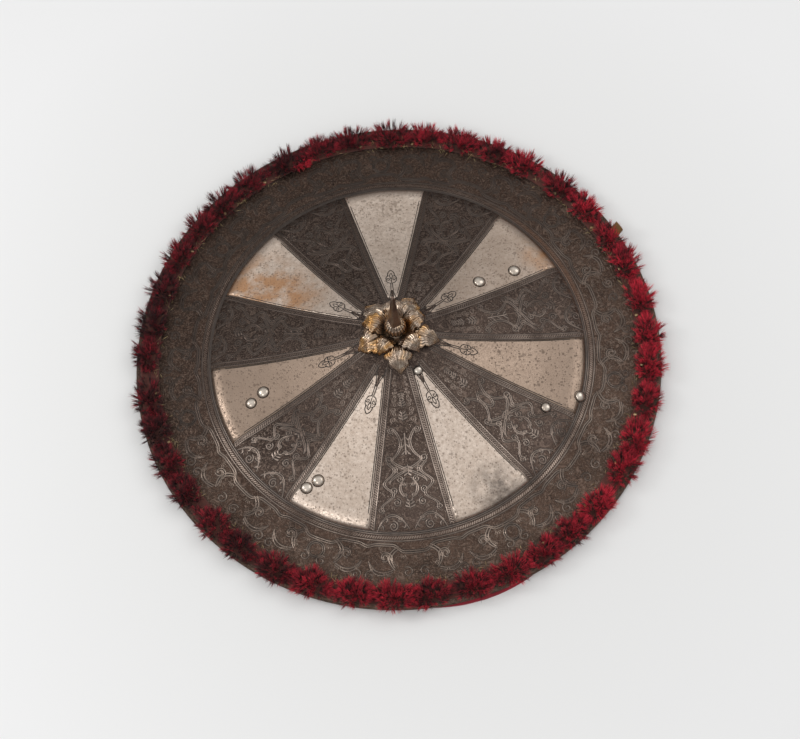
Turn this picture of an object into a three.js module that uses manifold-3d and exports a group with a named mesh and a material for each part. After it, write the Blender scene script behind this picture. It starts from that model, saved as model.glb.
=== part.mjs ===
// A round steel rondache lying on its back edge, boss upwards, in millimetres with +Z up.
// The origin is the centre of the rim on the surface that the shield lies on.
// A dished steel plate with a turned edge carries a gilt leaf rosette and a square spike at
// its middle, rivets for the two arm straps, and round the edge a nailed braid with a cut-pile
// fringe and a cloth lining band.
import * as THREE from "three";
import { mergeVertices } from "three/addons/utils/BufferGeometryUtils.js";
import Module from "manifold-3d";

const wasm = await Module();
wasm.setup();

const TURN = 2 * Math.PI;
const DEGREE = Math.PI / 180;

// Clearance kept between pieces that touch
const GAP = 0.3;

// Steel plate
const PLATE_THICKNESS = 1.6;
const EDGE_RADIUS = 290;
const EDGE_BEAD_RADIUS = 2.8;
const RING_RADIUS = 207;
const RING_HEIGHT = 10.5;
const SHOULDER_WIDTH = 17;
const SHOULDER_DROP = 6;
const APEX_HEIGHT = 75.3;
const DOME_FLARE = 0.6;
const DOME_STATIONS = [0.07, 0.17, 0.31, 0.5, 0.74, 1];
const SLOPE_REACH = 3;
const PLATE_SIDES = 48;

// Cloth lining band inside the edge, and the stretch where it shows past the edge
const LINING_THICKNESS = 1.2;
const LINING_WIDTH = 36;
const LINING_EDGE_INSET = 1.5;
const LINING_TONGUE_REACH = 4.5;
const LINING_TONGUE_AZIMUTH = -76;
const LINING_TONGUE_SPREAD = 14;

// Woven braid that the fringe is sewn to, and its nails
const BRAID_THICKNESS = 1.2;
const BRAID_WIDTH = 20.5;
const BRAID_EDGE_INSET = 5;
const NAIL_COUNT = 28;
const NAIL_RING_INSET = 3.5;
const NAIL_FIRST_AZIMUTH = 4.6;
const NAIL_HEAD_RADIUS = 2.3;
const NAIL_HEAD_HEIGHT = 1.7;

// Cut-pile fringe
const FRINGE_TUFTS = 40;
const FRINGE_FOOT_WIDTH = 12;
const FRINGE_EDGE_INSET = 1.1;
const FRINGE_HEIGHT = 15.5;
const FRINGE_INWARD_SPLAY = 4.5;
const FRINGE_OUTWARD_SPLAY = 6.5;
const TUFT_DEPTH = 2.6;

// Spike with the tang that holds the rosette
const SPIKE_WIDTH = 12;
const SPIKE_TIP_WIDTH = 2.6;
const SPIKE_LENGTH = 61;
const TANG_RADIUS = 3.6;
const TANG_HEAD_RADIUS = 9;
const TANG_HEAD_THICKNESS = 3;

// Gadrooned bulb under the spike
const BULB_RADIUS = 12;
const BULB_FOOT_RADIUS = 9;
const BULB_HEIGHT = 17;
const BULB_LIP_WIDTH = 1.6;
const BULB_POCKET_DEPTH = 2.5;
const BULB_RIBS = 16;
const BULB_RIB_DEPTH = 0.9;

// The two tiers of leaves, each cut from one sheet of brass
const LEAF_THICKNESS = 1.1;
const LEAVES_IN_TIER = 5;
const LEAF_VEIN_DEPTH = 1.5;
const OUTER_LEAVES = {
  firstAzimuth: -88,
  seat: 12,
  notch: 19,
  reach: 47,
  crown: 10,
  crownAt: 0.55,
  tipLift: 4,
  steps: 10,
};
const INNER_LEAVES = {
  firstAzimuth: -52,
  seat: 9.5,
  notch: 14,
  reach: 35,
  crown: 17,
  crownAt: 0.72,
  tipLift: 13,
  steps: 10,
};

// Rivets of the arm straps, as pairs of [x, y] at the two ends of each strap, and one more
const HAND_STRAP_ENDS = [[[-149.4, -37.0], [-163.4, -47.4]], [[-96.4, -143.5], [-109.3, -149.8]]];
const ARM_STRAP_ENDS = [[[97.2, 69.6], [137.8, 84.0]], [[154.4, -82.7], [193.4, -70.6]]];
const BOSS_RIVET = [20.2, -41.5];
const RIVET_SIDES = 7;
const RIVET_HEAD_RADIUS = 6;
const RIVET_HEAD_HEIGHT = 3.2;
const BOSS_RIVET_HEAD_RADIUS = 4.6;
const RIVET_SHANK_RADIUS = 2;
const RIVET_TAIL_RADIUS = 3.8;
const RIVET_TAIL_THICKNESS = 1.3;

// Leather arm straps, slack and lying close under the plate
const STRAP_THICKNESS = 2.2;
const STRAP_PLATE_GAP = 0.8;
const STRAP_EDGE_MARGIN = 9;
const STRAP_END_MARGIN = 12;
const STRAP_FLOOR_CLEARANCE = 2.5;
const STRAP_CELL = 18;
const STRAP_BEND_SHARE = 0.6;
const STRAP_BEND_ALLOWANCE = 1.4;

// Heights and normals of the plate

const beadCentreHeight = LINING_THICKNESS + GAP + EDGE_BEAD_RADIUS;
const beadCentreRadius = EDGE_RADIUS - EDGE_BEAD_RADIUS;
const beadTopHeight = beadCentreHeight + EDGE_BEAD_RADIUS;
const shoulderRadius = RING_RADIUS - SHOULDER_WIDTH;

// Height of the outer face's curve at a radius: a dome drawn up to a point, a rounded
// shoulder down to the ring, and a nearly flat brim out to the turned edge.
function faceCurve(radius) {
  if (radius <= shoulderRadius) {
    const t = radius / shoulderRadius;
    const foot = RING_HEIGHT + SHOULDER_DROP;
    return foot + (APEX_HEIGHT - foot) * (1 - t) * (1 - DOME_FLARE * t);
  }
  if (radius <= RING_RADIUS) {
    const u = (radius - shoulderRadius) / SHOULDER_WIDTH;
    return RING_HEIGHT + SHOULDER_DROP * (1 - u * u);
  }
  const out = (radius - RING_RADIUS) / (beadCentreRadius - RING_RADIUS);
  return RING_HEIGHT + (beadTopHeight - RING_HEIGHT) * out;
}

// Height at a radius on a line of [radius, height] stations that runs outwards
function heightOn(stations, radius) {
  const next = Math.max(1, stations.findIndex(([place]) => place >= radius));
  const [innerRadius, innerHeight] = stations[next - 1];
  const [outerRadius, outerHeight] = stations[next];
  const share = (radius - innerRadius) / (outerRadius - innerRadius);
  return innerHeight + (outerHeight - innerHeight) * share;
}

const tangHoleRadius = TANG_RADIUS + 2 * GAP;
const domeRadii = DOME_STATIONS.map((share) => share * shoulderRadius);
const shoulderMiddle = (shoulderRadius + RING_RADIUS) / 2;
const faceRadii = [tangHoleRadius, ...domeRadii, shoulderMiddle, RING_RADIUS, beadCentreRadius];
const faceStations = faceRadii.map((radius) => [radius, faceCurve(radius)]);

// Height of the plate's outer face as it is made, in straight steps between its stations
function plateHeight(radius) {
  return heightOn(faceStations, radius);
}

// Slope of the outer face, averaged over a reach so that it is steady across the creases
function plateSlope(radius, reach) {
  const inner = Math.max(radius - reach, tangHoleRadius);
  const outer = Math.min(radius + reach, beadCentreRadius);
  return (plateHeight(outer) - plateHeight(inner)) / (outer - inner);
}

// The inner face is a plate thickness away along the normal
const backStations = faceRadii.map((radius) => {
  const slope = plateSlope(radius, SLOPE_REACH);
  return [radius, plateHeight(radius) - PLATE_THICKNESS * Math.hypot(1, slope)];
});

function plateUnderside(radius) {
  return heightOn(backStations, radius);
}

// Geometry and solid helpers

// A profile of [radius, height] pairs turned round the Z axis
function turned(profile, sides) {
  const points = profile.map(([radius, height]) => new THREE.Vector2(radius, height));
  return new THREE.LatheGeometry(points, sides).rotateX(Math.PI / 2);
}

// A ring-shaped profile closed on itself, turned round the Z axis
function turnedRing(profile, sides) {
  return turned([...profile, profile[0]], sides);
}

// Moves each vertex to the place that a rule gives for its azimuth, radius and height
function reshape(geometry, rule) {
  const position = geometry.attributes.position;
  for (let i = 0; i < position.count; i++) {
    const x = position.getX(i);
    const y = position.getY(i);
    const azimuth = Math.atan2(y, x);
    const [radius, height] = rule(azimuth, Math.hypot(x, y), position.getZ(i));
    position.setXYZ(i, radius * Math.cos(azimuth), radius * Math.sin(azimuth), height);
  }
  return geometry;
}

function toSolid(geometry) {
  const bare = new THREE.BufferGeometry();
  const loose = geometry.index ? geometry.toNonIndexed() : geometry;
  bare.setAttribute("position", loose.getAttribute("position"));
  const merged = mergeVertices(bare, 1e-3);
  return new wasm.Manifold(
    new wasm.Mesh({
      numProp: 3,
      vertProperties: merged.attributes.position.array,
      triVerts: new Uint32Array(merged.index.array),
    }),
  );
}

function toGeometry(solid) {
  const mesh = solid.getMesh();
  const geometry = new THREE.BufferGeometry();
  geometry.setAttribute("position", new THREE.BufferAttribute(mesh.vertProperties, 3));
  geometry.setIndex(new THREE.BufferAttribute(mesh.triVerts, 1));
  return geometry;
}

// Turns a geometry made along +Z so that it stands along a direction at a place
function stand(geometry, place, direction) {
  const up = new THREE.Vector3(0, 0, 1);
  const turn = new THREE.Quaternion().setFromUnitVectors(up, direction);
  return geometry.applyQuaternion(turn).translate(place.x, place.y, place.z);
}

// Wraps an angle to the range from -half a turn to half a turn
function wrapped(angle) {
  return angle - TURN * Math.round(angle / TURN);
}

// Materials
const finishes = {
  etchedSteel: new THREE.MeshStandardMaterial({ color: 0x4d443e, roughness: 0.5, metalness: 0.9 }),
  spikeSteel: new THREE.MeshStandardMaterial({ color: 0x5a4c44, roughness: 0.4, metalness: 0.95 }),
  brightSteel: new THREE.MeshStandardMaterial({ color: 0xc9c3ba, roughness: 0.25, metalness: 1 }),
  giltBrass: new THREE.MeshStandardMaterial({ color: 0xa8814a, roughness: 0.35, metalness: 1 }),
  nailBrass: new THREE.MeshStandardMaterial({ color: 0xb9a27c, roughness: 0.35, metalness: 1 }),
  crimsonWool: new THREE.MeshStandardMaterial({ color: 0x7c1426, roughness: 0.95, metalness: 0 }),
  wovenBraid: new THREE.MeshStandardMaterial({ color: 0x5f3a2b, roughness: 0.9, metalness: 0 }),
  liningCloth: new THREE.MeshStandardMaterial({ color: 0xb02a40, roughness: 0.9, metalness: 0 }),
  strapLeather: new THREE.MeshStandardMaterial({ color: 0x4a2f1d, roughness: 0.7, metalness: 0 }),
};

const shield = new THREE.Group();

function addPiece(name, geometry, material) {
  const mesh = new THREE.Mesh(geometry, material);
  mesh.name = name;
  shield.add(mesh);
}

// Plate

function plateProfile() {
  const bead = [];
  for (let angle = 90; angle >= -180; angle -= 45) {
    const radius = beadCentreRadius + EDGE_BEAD_RADIUS * Math.cos(angle * DEGREE);
    bead.push([radius, beadCentreHeight + EDGE_BEAD_RADIUS * Math.sin(angle * DEGREE)]);
  }
  const beadInside = beadCentreRadius - EDGE_BEAD_RADIUS - PLATE_THICKNESS;
  const back = [...backStations.slice(0, -1), [beadInside, plateUnderside(beadInside)]].reverse();
  return [...faceStations.slice(0, -1), ...bead, ...back].reverse();
}

// How far the spots of a surface lie along a direction from a place, at a radius round it
// and at its middle
function spotsAlong(surfaceHeight, place, direction, radius) {
  const spots = [[place.x, place.y]];
  for (let angle = 0; angle < TURN; angle += TURN / 8) {
    spots.push([place.x + radius * Math.cos(angle), place.y + radius * Math.sin(angle)]);
  }
  return spots.map(([x, y]) => {
    const spot = new THREE.Vector3(x, y, surfaceHeight(Math.hypot(x, y)));
    return spot.sub(place).dot(direction);
  });
}

// Height of a strap's inner side where it lies against the plate. It bridges the creases,
// so it follows the plate a little further out.
function strapHeight(radius) {
  return plateUnderside(radius + STRAP_CELL / 2) - STRAP_PLATE_GAP;
}

// A rivet stands square to the plate with its head clear of the curve under it, and its
// tail clear of the surface that it holds
function rivetSeat([x, y], headRadius, heldSurface) {
  const radius = Math.hypot(x, y);
  const slope = plateSlope(radius, headRadius);
  const direction = new THREE.Vector3((-slope * x) / radius, (-slope * y) / radius, 1).normalize();
  const place = new THREE.Vector3(x, y, plateHeight(radius));
  place.addScaledVector(direction, Math.max(...spotsAlong(plateHeight, place, direction, headRadius)) + GAP);
  const grip = GAP - Math.min(...spotsAlong(heldSurface, place, direction, RIVET_TAIL_RADIUS));
  return { place, direction, headRadius, grip };
}

function rivetBody({ place, direction, headRadius, grip }) {
  const profile = [
    [0, -grip - RIVET_TAIL_THICKNESS],
    [RIVET_TAIL_RADIUS, -grip - RIVET_TAIL_THICKNESS],
    [RIVET_TAIL_RADIUS, -grip],
    [RIVET_SHANK_RADIUS, -grip],
    [RIVET_SHANK_RADIUS, 0],
    [headRadius, 0],
    [0.75 * headRadius, 0.7 * RIVET_HEAD_HEIGHT],
    [0, RIVET_HEAD_HEIGHT],
  ];
  return stand(turned(profile, RIVET_SIDES), place, direction);
}

// Drill that clears a rivet's shank through plate and strap
function rivetDrill({ place, direction, grip }) {
  const drill = new THREE.CylinderGeometry(RIVET_SHANK_RADIUS + GAP, RIVET_SHANK_RADIUS + GAP, 4 * grip, 8);
  return toSolid(stand(drill.rotateX(Math.PI / 2), place, direction));
}

const strapRivets = [...HAND_STRAP_ENDS, ...ARM_STRAP_ENDS].flat();
const strapUnderside = (radius) => strapHeight(radius) - STRAP_THICKNESS - STRAP_BEND_ALLOWANCE;
const strapSeats = strapRivets.map((spot) => rivetSeat(spot, RIVET_HEAD_RADIUS, strapUnderside));
const bossSeat = rivetSeat(BOSS_RIVET, BOSS_RIVET_HEAD_RADIUS, plateUnderside);
const drills = [...strapSeats, bossSeat].map(rivetDrill);

let plate = toSolid(turnedRing(plateProfile(), PLATE_SIDES));
for (const drill of drills) plate = plate.subtract(drill);
addPiece("steel_plate", toGeometry(plate), finishes.etchedSteel);

// Rivets

strapSeats.forEach((seat, i) => addPiece(`strap_rivet_${i + 1}`, rivetBody(seat), finishes.brightSteel));
addPiece("boss_rivet", rivetBody(bossSeat), finishes.brightSteel);

// Arm straps

// A strap runs straight in plan between its two pairs of rivets, follows the plate's inner
// face at its ends, and hangs away from it in between, clear of the floor.
function strapBody(ends) {
  const [from, to] = ends.map(([a, b]) => new THREE.Vector2((a[0] + b[0]) / 2, (a[1] + b[1]) / 2));
  const along = to.clone().sub(from);
  const span = along.length();
  along.normalize();
  const across = new THREE.Vector2(-along.y, along.x);
  const pairWidth = Math.max(...ends.map(([a, b]) => Math.hypot(a[0] - b[0], a[1] - b[1])));
  const width = pairWidth + 2 * STRAP_EDGE_MARGIN;
  const length = span + 2 * STRAP_END_MARGIN;
  const slackHalf = span / 2 - STRAP_CELL - RIVET_TAIL_RADIUS;
  const cells = [length, width].map((size) => Math.ceil(size / STRAP_CELL));
  const box = new THREE.BoxGeometry(length, width, STRAP_THICKNESS, ...cells, 1);
  const position = box.attributes.position;
  for (let i = 0; i < position.count; i++) {
    const s = position.getX(i);
    const x = (from.x + to.x) / 2 + along.x * s + across.x * position.getY(i);
    const y = (from.y + to.y) / 2 + along.y * s + across.y * position.getY(i);
    const free = Math.max(0, 1 - Math.abs(s) / slackHalf);
    const slackShare = Math.sin((Math.PI / 2) * Math.min(1, free / STRAP_BEND_SHARE));
    const seated = strapHeight(Math.hypot(x, y));
    const slack = STRAP_FLOOR_CLEARANCE + STRAP_THICKNESS;
    const top = seated + (slack - seated) * slackShare;
    position.setXYZ(i, x, y, top + position.getZ(i) - STRAP_THICKNESS / 2);
  }
  return box;
}

function drilledStrap(ends, itsDrills) {
  let strap = toSolid(strapBody(ends));
  for (const drill of itsDrills) strap = strap.subtract(drill);
  return toGeometry(strap);
}

addPiece("hand_strap", drilledStrap(HAND_STRAP_ENDS, drills.slice(0, 4)), finishes.strapLeather);
addPiece("arm_strap", drilledStrap(ARM_STRAP_ENDS, drills.slice(4, 8)), finishes.strapLeather);

// Leaf tiers

// How far a tier's sheet reaches at an azimuth, as a share of its leaf: lobes on a pointed
// leaf, falling to nothing between two leaves.
function leafReach(offset) {
  const side = Math.abs(offset);
  const body = Math.pow(Math.max(0, 1 - Math.pow(side, 2.4)), 0.75);
  const point = 0.2 * Math.max(0, 1 - side / 0.25);
  const lobes = 0.09 * Math.cos(side * 4 * Math.PI) * (1 - side);
  return 0.8 * body + point + lobes * body;
}

// Height of a tier above its seat at a share of the way from the seat to a leaf's tip
function leafLift(tier, share) {
  if (share < tier.crownAt) return tier.crown * Math.sin((Math.PI / 2) * (share / tier.crownAt));
  const past = (share - tier.crownAt) / (1 - tier.crownAt);
  return tier.crown - (tier.crown - tier.tipLift) * past * past;
}

// The sheet lies flat on its seat round the tang, then rises along the leaves and turns
// down at their tips. Its middle vein is lower than its two sides.
function leafTier(tier, baseLift) {
  const places = [0, 1, 1.35, 1.7, 2];
  const under = places.map((place) => [1 + place, 0]);
  const over = places.map((place) => [1 + place, 1]).reverse();
  const sheet = turnedRing([...under, ...over], LEAVES_IN_TIER * tier.steps);
  return reshape(sheet, (azimuth, ringPlace, face) => {
    const offset = wrapped((azimuth - tier.firstAzimuth * DEGREE) * LEAVES_IN_TIER) / Math.PI;
    const seatShare = Math.min(1, ringPlace - 1);
    const leafShare = Math.max(0, ringPlace - 2);
    const edge = tier.notch + (tier.reach - tier.notch) * leafReach(offset);
    const radius = tangHoleRadius + (tier.seat - tangHoleRadius) * seatShare + (edge - tier.seat) * leafShare;
    const out = Math.max(0, (radius - tier.seat) / (tier.reach - tier.seat));
    const vein = LEAF_VEIN_DEPTH * Math.max(0, 1 - Math.abs(offset) / 0.3) * Math.sin(Math.PI * leafShare);
    return [radius, plateHeight(radius) + baseLift + leafLift(tier, out) - vein + face * LEAF_THICKNESS];
  });
}

const outerLeavesLift = 2 * GAP;
const innerLeavesLift = outerLeavesLift + LEAF_THICKNESS + 2 * GAP;
const bulbLift = innerLeavesLift + LEAF_THICKNESS + 2 * GAP;

addPiece("outer_leaves", leafTier(OUTER_LEAVES, outerLeavesLift), finishes.giltBrass);
addPiece("inner_leaves", leafTier(INNER_LEAVES, innerLeavesLift), finishes.giltBrass);

// Gadrooned bulb

const bulbFootHeight = plateHeight(tangHoleRadius) + bulbLift;
const bulbTopHeight = bulbFootHeight + BULB_HEIGHT;
const pocketRadius = (SPIKE_WIDTH * Math.SQRT2) / 2 + GAP;
const pocketFloor = bulbTopHeight - BULB_POCKET_DEPTH;

function bulbBody() {
  const lipRadius = pocketRadius + BULB_LIP_WIDTH;
  const profile = [
    [tangHoleRadius, bulbFootHeight],
    [BULB_FOOT_RADIUS, plateHeight(BULB_FOOT_RADIUS) + bulbLift],
    [BULB_RADIUS, bulbFootHeight + BULB_HEIGHT * 0.35],
    [BULB_RADIUS * 0.95, bulbFootHeight + BULB_HEIGHT * 0.78],
    [lipRadius, bulbTopHeight],
    [pocketRadius, bulbTopHeight],
    [pocketRadius, pocketFloor],
    [tangHoleRadius, pocketFloor],
  ];
  return reshape(turnedRing(profile, 2 * BULB_RIBS), (azimuth, radius, height) => {
    const up = (height - bulbFootHeight) / BULB_HEIGHT;
    const onSide = radius > lipRadius && up > 0.1 ? 1 : 0;
    const rib = 0.5 + 0.5 * Math.cos(azimuth * BULB_RIBS);
    return [radius - onSide * BULB_RIB_DEPTH * (1 - rib), height];
  });
}

addPiece("gadrooned_bulb", bulbBody(), finishes.giltBrass);

// Spike

function spikeBody() {
  const foot = pocketFloor + GAP;
  const tipRadius = SPIKE_TIP_WIDTH / Math.SQRT2;
  const footRadius = SPIKE_WIDTH / Math.SQRT2;
  const shaft = new THREE.CylinderGeometry(tipRadius, footRadius, SPIKE_LENGTH, 4);
  shaft.rotateX(Math.PI / 2).rotateZ(Math.PI / 4).translate(0, 0, foot + SPIKE_LENGTH / 2);
  const headTop = plateUnderside(TANG_HEAD_RADIUS) - GAP;
  const tang = turned(
    [
      [0, headTop - TANG_HEAD_THICKNESS],
      [TANG_HEAD_RADIUS * 0.8, headTop - TANG_HEAD_THICKNESS],
      [TANG_HEAD_RADIUS, headTop],
      [TANG_RADIUS, headTop],
      [TANG_RADIUS, foot + 1],
      [0, foot + 1],
    ],
    12,
  );
  return toGeometry(toSolid(shaft).add(toSolid(tang)));
}

addPiece("spike", spikeBody(), finishes.spikeSteel);

// Lining band

// Share of the lining tongue at an azimuth: one at its middle and none past its ends
function tongueShare(azimuth) {
  const away = wrapped(azimuth - LINING_TONGUE_AZIMUTH * DEGREE) / (LINING_TONGUE_SPREAD * DEGREE);
  return Math.max(0, 1 - away * away);
}

function liningBody() {
  const bendRadius = beadCentreRadius - EDGE_BEAD_RADIUS - PLATE_THICKNESS - LINING_THICKNESS;
  const outerRadius = EDGE_RADIUS - LINING_EDGE_INSET;
  const innerRadius = EDGE_RADIUS - LINING_WIDTH;
  const under = (radius) => plateUnderside(radius) - GAP;
  const profile = [
    [innerRadius, under(innerRadius) - LINING_THICKNESS],
    [bendRadius - LINING_THICKNESS, under(bendRadius) - LINING_THICKNESS],
    [bendRadius, 0],
    [outerRadius, 0],
    [outerRadius, LINING_THICKNESS],
    [bendRadius + LINING_THICKNESS, LINING_THICKNESS],
    [bendRadius, under(bendRadius)],
    [innerRadius, under(innerRadius)],
  ];
  return reshape(turnedRing(profile, PLATE_SIDES), (azimuth, radius, height) => {
    const atEdge = radius > outerRadius - GAP ? 1 : 0;
    return [radius + atEdge * LINING_TONGUE_REACH * tongueShare(azimuth), height];
  });
}

addPiece("lining_band", liningBody(), finishes.liningCloth);

// Braid and nails

const braidOuterRadius = EDGE_RADIUS - BRAID_EDGE_INSET;
const braidInnerRadius = braidOuterRadius - BRAID_WIDTH;
const braidTop = (radius) => plateHeight(radius) + 2 * GAP + BRAID_THICKNESS;

function braidBody() {
  const foot = (radius) => plateHeight(radius) + 2 * GAP;
  const profile = [
    [braidInnerRadius, foot(braidInnerRadius)],
    [braidOuterRadius, foot(braidOuterRadius)],
    [braidOuterRadius, braidTop(braidOuterRadius)],
    [braidInnerRadius, braidTop(braidInnerRadius)],
  ];
  return turnedRing(profile, PLATE_SIDES);
}

addPiece("fringe_braid", braidBody(), finishes.wovenBraid);

const nailRadius = braidInnerRadius + NAIL_RING_INSET;
for (let i = 0; i < NAIL_COUNT; i++) {
  const azimuth = NAIL_FIRST_AZIMUTH * DEGREE + (i * TURN) / NAIL_COUNT;
  const head = turned(
    [
      [0, 0],
      [NAIL_HEAD_RADIUS, 0],
      [0.72 * NAIL_HEAD_RADIUS, 0.6 * NAIL_HEAD_HEIGHT],
      [0, NAIL_HEAD_HEIGHT],
    ],
    6,
  );
  const height = braidTop(nailRadius - NAIL_HEAD_RADIUS) + GAP;
  head.translate(nailRadius * Math.cos(azimuth), nailRadius * Math.sin(azimuth), height);
  addPiece(`edge_nail_${String(i + 1).padStart(2, "0")}`, head, finishes.nailBrass);
}

// Fringe

function fringeBody() {
  const footOuter = braidOuterRadius - FRINGE_EDGE_INSET;
  const footInner = footOuter - FRINGE_FOOT_WIDTH;
  const foot = braidTop(footInner) + GAP;
  const profile = [
    [footInner, foot],
    [footOuter, foot],
    [footOuter + FRINGE_OUTWARD_SPLAY, foot + 0.45 * FRINGE_HEIGHT],
    [footOuter + 0.4 * FRINGE_OUTWARD_SPLAY, foot + 0.95 * FRINGE_HEIGHT],
    [footInner + 0.3 * FRINGE_FOOT_WIDTH, foot + FRINGE_HEIGHT],
    [footInner - FRINGE_INWARD_SPLAY, foot + 0.62 * FRINGE_HEIGHT],
  ];
  const middle = (footInner + footOuter) / 2;
  return reshape(turnedRing(profile, 2 * FRINGE_TUFTS), (azimuth, radius, height) => {
    const up = (height - foot) / FRINGE_HEIGHT;
    if (up < 0.1) return [radius, height];
    const valley = 0.5 - 0.5 * Math.cos(azimuth * FRINGE_TUFTS);
    const inward = TUFT_DEPTH * valley * Math.sign(radius - middle);
    return [radius - inward, height - TUFT_DEPTH * valley * (up > 0.8 ? 1 : 0.3)];
  });
}

addPiece("edge_fringe", fringeBody(), finishes.crimsonWool);

export default shield;
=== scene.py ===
import bpy
import bmesh
import math
import random
from mathutils import Matrix, Vector, noise


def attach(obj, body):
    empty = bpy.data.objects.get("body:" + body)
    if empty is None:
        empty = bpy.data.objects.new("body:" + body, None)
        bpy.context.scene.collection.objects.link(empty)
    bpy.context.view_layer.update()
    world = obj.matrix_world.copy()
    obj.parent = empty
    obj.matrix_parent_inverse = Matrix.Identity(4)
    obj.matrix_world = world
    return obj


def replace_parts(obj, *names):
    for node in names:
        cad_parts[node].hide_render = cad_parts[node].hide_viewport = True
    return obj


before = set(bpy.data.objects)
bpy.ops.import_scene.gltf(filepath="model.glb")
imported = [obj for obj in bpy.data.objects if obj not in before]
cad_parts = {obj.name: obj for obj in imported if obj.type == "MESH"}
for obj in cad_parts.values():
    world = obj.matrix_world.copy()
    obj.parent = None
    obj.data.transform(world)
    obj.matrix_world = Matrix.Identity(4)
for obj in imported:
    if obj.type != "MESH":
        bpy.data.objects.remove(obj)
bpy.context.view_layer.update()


# Steel plate
# One sheet of steel, raised by hammer into a low cone with a rounded shoulder and a nearly
# flat brim, and turned over at its edge. Outside it is etched dark, inside it is left rough.

MM = 0.001
RIM_R = 290.0
BEAD_R = 2.8
BEAD_Z = 4.3
RING_R = 207.0
RING_Z = 10.5
SHOULDER_R = 190.0
SHOULDER_DROP = 6.0
APEX_Z = 75.3
FLARE = 0.6
PLATE_T = 1.6
TANG_HOLE_R = 4.2
HAMMER_DEPTH = 0.22
HAMMER_SPAN = 34.0
PLATE_COLUMNS = 240
# Direction in plan towards the far left, which the finishes paint darker as shade.
SHADED_SIDE = (-0.48, 0.88, 0.0)


def face_height(r):
    """Height in millimetres of the outer face at a distance from the axis."""
    if r <= SHOULDER_R:
        t = r / SHOULDER_R
        foot = RING_Z + SHOULDER_DROP
        return foot + (APEX_Z - foot) * (1 - t) * (1 - FLARE * t)
    if r <= RING_R:
        u = (r - SHOULDER_R) / (RING_R - SHOULDER_R)
        return RING_Z + SHOULDER_DROP * (1 - u * u)
    out = (r - RING_R) / (RIM_R - BEAD_R - RING_R)
    return RING_Z + (BEAD_Z + BEAD_R - RING_Z) * out


def on_face(x, y, lift=0.0):
    """Place in metres on the outer face over a spot in millimetres, with the hammer's waves."""
    r = math.hypot(x, y)
    calm = min(1.0, max(0.0, (r - 20) / 40)) * min(1.0, max(0.0, (RIM_R - 8 - r) / 20))
    wave = noise.noise(Vector((x / HAMMER_SPAN, y / HAMMER_SPAN, 0.0))) * HAMMER_DEPTH * calm
    return (x * MM, y * MM, (face_height(r) + wave + lift) * MM)


def around(r, degrees):
    return r * math.cos(math.radians(degrees)), r * math.sin(math.radians(degrees))


def new_piece(name, points, faces, materials, picks=None, smooth=True):
    """A mesh object from points in metres, with a material for each face."""
    mesh = bpy.data.meshes.new(name)
    mesh.from_pydata(points, [], faces)
    for material in materials:
        mesh.materials.append(material)
    if picks:
        mesh.polygons.foreach_set("material_index", picks)
    mesh.polygons.foreach_set("use_smooth", [smooth] * len(faces))
    mesh.update()
    piece = bpy.data.objects.new(name, mesh)
    bpy.context.scene.collection.objects.link(piece)
    return piece


def closed_piece(name, points, faces, materials, picks=None, smooth=True, tones=None):
    """A closed mesh with its faces outwards; tones are values from 0 to 1 that the finishes read."""
    piece = new_piece(name, points, faces, materials, picks, smooth)
    if tones:
        piece.data.attributes.new("tone", "FLOAT", "POINT").data.foreach_set("value", tones)
    work = bmesh.new()
    work.from_mesh(piece.data)
    bmesh.ops.recalc_face_normals(work, faces=work.faces)
    work.to_mesh(piece.data)
    work.free()
    return piece


def ring_faces(rows, columns, first=0, loop=False):
    """Faces of rows that each close into a ring; a loop also joins the last row to the first."""
    faces = []
    for i in range(rows if loop else rows - 1):
        a, b = first + i * columns, first + (i + 1) % rows * columns
        for j in range(columns):
            k = (j + 1) % columns
            faces.append((a + j, a + k, b + k, b + j))
    return faces


def sheet_faces(rows, columns, top, under):
    """Faces of an open sheet with a thickness: its two sides and the edge between them."""
    faces = []
    for i in range(rows - 1):
        for j in range(columns - 1):
            a, b = top + i * columns + j, under + i * columns + j
            faces += [(a, a + columns, a + columns + 1, a + 1), (b, b + 1, b + columns + 1, b + columns)]
    rim = list(range(columns)) + [i * columns + columns - 1 for i in range(1, rows)]
    rim += [(rows - 1) * columns + j for j in range(columns - 2, -1, -1)]
    rim += [i * columns for i in range(rows - 2, 0, -1)]
    faces += [(top + a, top + b, under + b, under + a) for a, b in zip(rim, rim[1:] + rim[:1])]
    return faces


def put(tree, kind, sockets=None, **settings):
    """A node with its sockets set to values or joined to other nodes' outputs."""
    made = tree.nodes.new(kind)
    for name, value in settings.items():
        setattr(made, name, value)
    for key, value in (sockets or {}).items():
        if isinstance(value, bpy.types.NodeSocket):
            tree.links.new(value, made.inputs[key])
        else:
            made.inputs[key].default_value = value
    return made


def linear(colour):
    """Linear colour from red, green and blue of 0 to 255."""
    shares = [value / 255 for value in colour]
    return (*(v / 12.92 if v <= 0.04045 else ((v + 0.055) / 1.055) ** 2.4 for v in shares), 1.0)


def blend(tree, share, low, high):
    """Colour between two, each one a node's output or red, green and blue of 0 to 255."""
    low, high = (linear(colour) if isinstance(colour, tuple) else colour for colour in (low, high))
    return put(tree, "ShaderNodeMix", {0: share, 6: low, 7: high}, data_type="RGBA").outputs[2]


def between(tree, value, low, high, to_low=0.0, to_high=1.0):
    """Value carried from one range to another, held at its ends."""
    sockets = {"Value": value, 1: low, 2: high, 3: to_low, 4: to_high}
    return put(tree, "ShaderNodeMapRange", sockets).outputs[0]


def figure(tree, kind, first, second=0.0, held=False):
    """One step of arithmetic, held from 0 to 1 where asked."""
    return put(tree, "ShaderNodeMath", {0: first, 1: second}, operation=kind, use_clamp=held).outputs[0]


def times(tree, first, second):
    return figure(tree, "MULTIPLY", first, second, True)


def greater(tree, first, second):
    return figure(tree, "MAXIMUM", first, second, True)


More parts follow.
